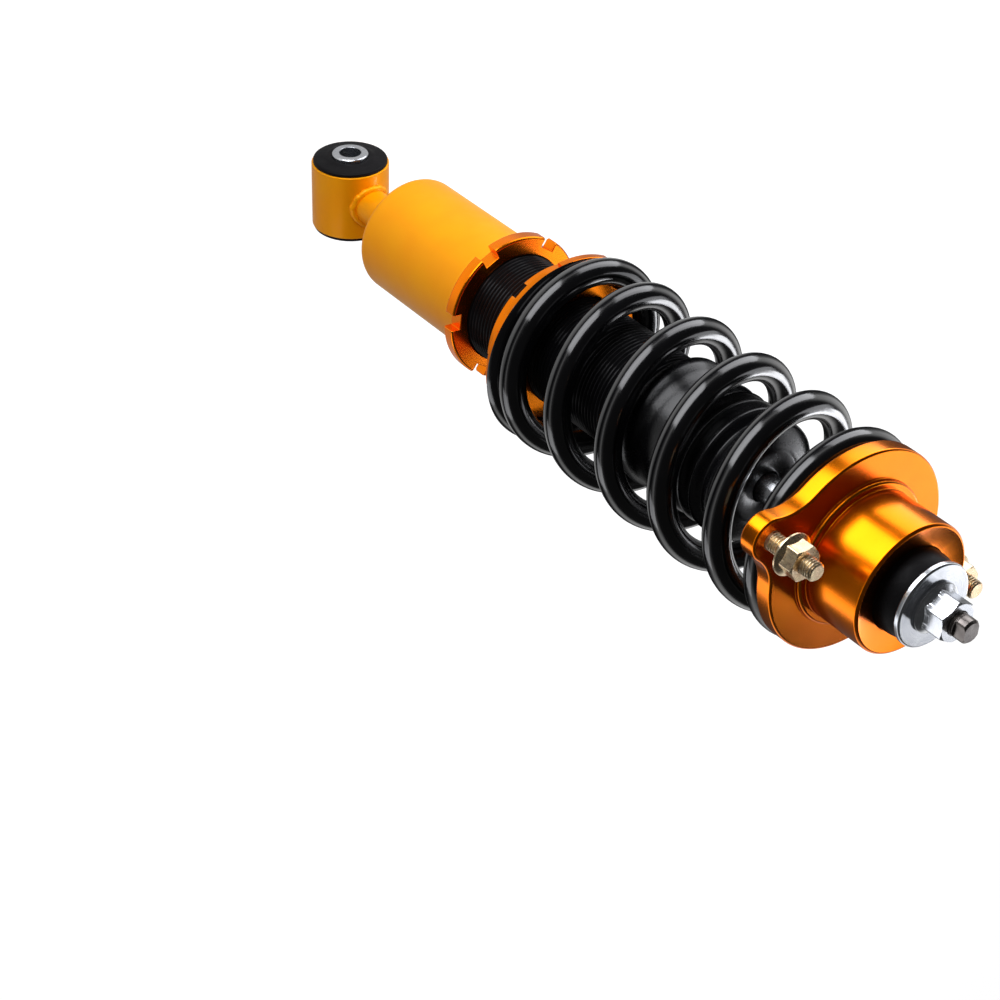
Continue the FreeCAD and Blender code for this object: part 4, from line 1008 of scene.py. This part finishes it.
# %% Studs
STUD_PLACE_R = 50.5
STUD_TURNS = (152.6, 332.6)
STUD_PLACES = [(STUD_PLACE_R * math.cos(math.radians(turn)),
                STUD_PLACE_R * math.sin(math.radians(turn))) for turn in STUD_TURNS]
STUD_HEAD = [(0, 336.3), (6.8, 336.3), (6.8, 340.3), (4.2, 340.3), (4.2, 343.9), (0, 343.9)]

stud_thread = thread_tree("stud_thread", 40, 200, False)
for number, (x, y) in enumerate(STUD_PLACES):
    numbers = thread_numbers(3.9, 0.62, 1.25, 343.0, 367.5, 344.2, 368.5, chamfer=0.8, x=x, y=y)
    shank = grown(f"stud_{number}_thread", stud_thread, numbers, FINISHES["yellow_zinc"])
    place_piece(outwards(shank), "mount_studs")
    head = spun(f"stud_{number}_head", rounded(STUD_HEAD, 0.4), around=48)
    head.data.transform(Matrix.Translation((x * MM, y * MM, 0)))
    place_piece(head, "mount_studs")
print(len(STUD_PLACES), "studs made")

# %% [markdown]
# ## Flanged nuts
# A flanged nut is a hexagon grown out of a cone. Its corners are turned down at the top, so each
# one ends in a curved edge. At every angle and height the radius is the larger of hexagon and cone,
# cut by the turned crown, so a grid of points with that radius is the whole outside. The bore
# closes it.

# %% Flanged nuts
NUT_POINTS_AROUND = 144
NUT_SHARP_DEG = 24
CORNERS_OFF = 0.12
CROWN_SHARE, CROWN_SLOPE = 0.6, 1.7
RIM_SHARE, CONE_RISE = 0.45, 0.4
BORE_CHAMFER = 0.4
FOOT_BREAK_IN, FOOT_BREAK_UP = 0.15, 0.12
RIM_BREAK_IN, RIM_BREAK_DOWN, RIM_BREAK_UP = 0.08, 0.1, 0.02
TOP_BREAK = 0.1


def nut_rows(flange_thick, low, high, chamfer, rim, cone_top):
    """Heights of the grid's rows from the bore's foot round the outside, and what each one is."""
    rows = [(low, "bore"), (low, "foot"), (low + FOOT_BREAK_UP, "flange"),
            (rim - RIM_BREAK_DOWN, "flange"), (rim + RIM_BREAK_UP, "rim")]
    rows += [(rim + (cone_top - rim) * step / 8, "cone") for step in range(1, 9)]
    rows += [(cone_top + (high - chamfer - cone_top) * step / 3, "hex") for step in range(1, 4)]
    rows += [(high - chamfer * (1 - step / 6), "hex") for step in range(1, 7)]
    rows += [(high, "top"), (high, "bore_edge"), (high - BORE_CHAMFER, "bore")]
    return rows


def flanged_nut(name, node, flats, flange_r, flange_thick, bore_r, low, high, chamfer,
                x=0.0, y=0.0, turn=0.0):
    """A flanged nut with its sizes in mm, moved to x and y and turned by an angle in degrees."""
    half = flats / 2
    crown_r = flats / math.sqrt(3) - CORNERS_OFF
    crown_low = high - CROWN_SHARE * chamfer
    rim, cone_top = low + RIM_SHARE * flange_thick, low + flange_thick + CONE_RISE
    work = bmesh.new()
    rings = []
    for z, kind in nut_rows(flange_thick, low, high, chamfer, rim, cone_top):
        crown = crown_r - CROWN_SLOPE * max(0.0, z - crown_low)
        cone = half + (flange_r - half) * max(0.0, min(1.0, (cone_top - z) / (cone_top - rim)))
        ring = []
        for i in range(NUT_POINTS_AROUND):
            a = math.tau * i / NUT_POINTS_AROUND
            hexagon = half / math.cos((a + math.pi / 6) % (math.pi / 3) - math.pi / 6)
            body = min(hexagon, crown)
            r = {"bore": bore_r, "foot": flange_r - FOOT_BREAK_IN, "flange": flange_r,
                 "rim": flange_r - RIM_BREAK_IN, "cone": max(body, cone), "hex": body,
                 "top": body - TOP_BREAK, "bore_edge": bore_r + BORE_CHAMFER}[kind]
            ring.append(work.verts.new((r * math.cos(a) * MM, r * math.sin(a) * MM, z * MM)))
        rings.append(ring)
    for first, second in zip(rings, rings[1:] + rings[:1]):
        for i in range(NUT_POINTS_AROUND):
            after = (i + 1) % NUT_POINTS_AROUND
            work.faces.new((first[i], first[after], second[after], second[i]))
    bmesh.ops.recalc_face_normals(work, faces=work.faces)
    mesh = bpy.data.meshes.new(name)
    work.to_mesh(mesh)
    work.free()
    mesh.transform(Matrix.Translation((x * MM, y * MM, 0))
                   @ Matrix.Rotation(math.radians(turn), 4, "Z"))
    smooth_except(mesh, NUT_SHARP_DEG)
    piece = bpy.data.objects.new(name, mesh)
    bpy.context.collection.objects.link(piece)
    place_piece(piece, node)


flanged_nut("rod_nut", "top_nut", 16.0, 10.9, 2.6, 5.0, 385.0, 397.0, 1.1)
for number, (x, y) in enumerate(STUD_PLACES):
    flanged_nut(f"stud_nut_{number}", "stud_nuts", 13.0, 8.8, 2.0, 3.65, 353.4, 361.4, 0.8,
                x, y, STUD_TURNS[0])
print(1 + len(STUD_PLACES), "nuts made")

# %% [markdown]
# ## Piston rod
# The rod is hard-chromed and ground where it runs in the seal. Above the mount its neck is threaded
# for the top nut, left as plain dark steel, and two flats on the tip hold it still while the nut is
# turned.

# %% Piston rod
run = [(0, 176.0), (4.0, 176.0, 0.5), (4.0, 202.3, 0.1), (6.25, 202.3, 0.6), (6.25, 326.0, 0.6),
       (4.95, 326.0, 0.1), (4.95, 384.0, 0.1), (0, 384.0)]
place_piece(spun("rod_run", rounded(run, 0.1), around=72), "piston_rod")
tip_numbers = thread_numbers(4.95, 0.6, 1.25, 383.5, 404.0, 383.6, 399.4,
                             chamfer=0.9, flat=3.6, flat_from=398.95)
tip = grown("rod_tip", thread_tree("rod_thread", 48, 206, False),
            tip_numbers, FINISHES["dark_steel"])
place_piece(outwards(tip), "piston_rod", "dark_steel")
print("rod tip", len(tip.data.polygons), "faces")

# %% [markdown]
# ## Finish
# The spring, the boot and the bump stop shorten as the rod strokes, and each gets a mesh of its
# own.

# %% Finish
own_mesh(spring)
for piece in (boot, bump):
    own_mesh(piece)
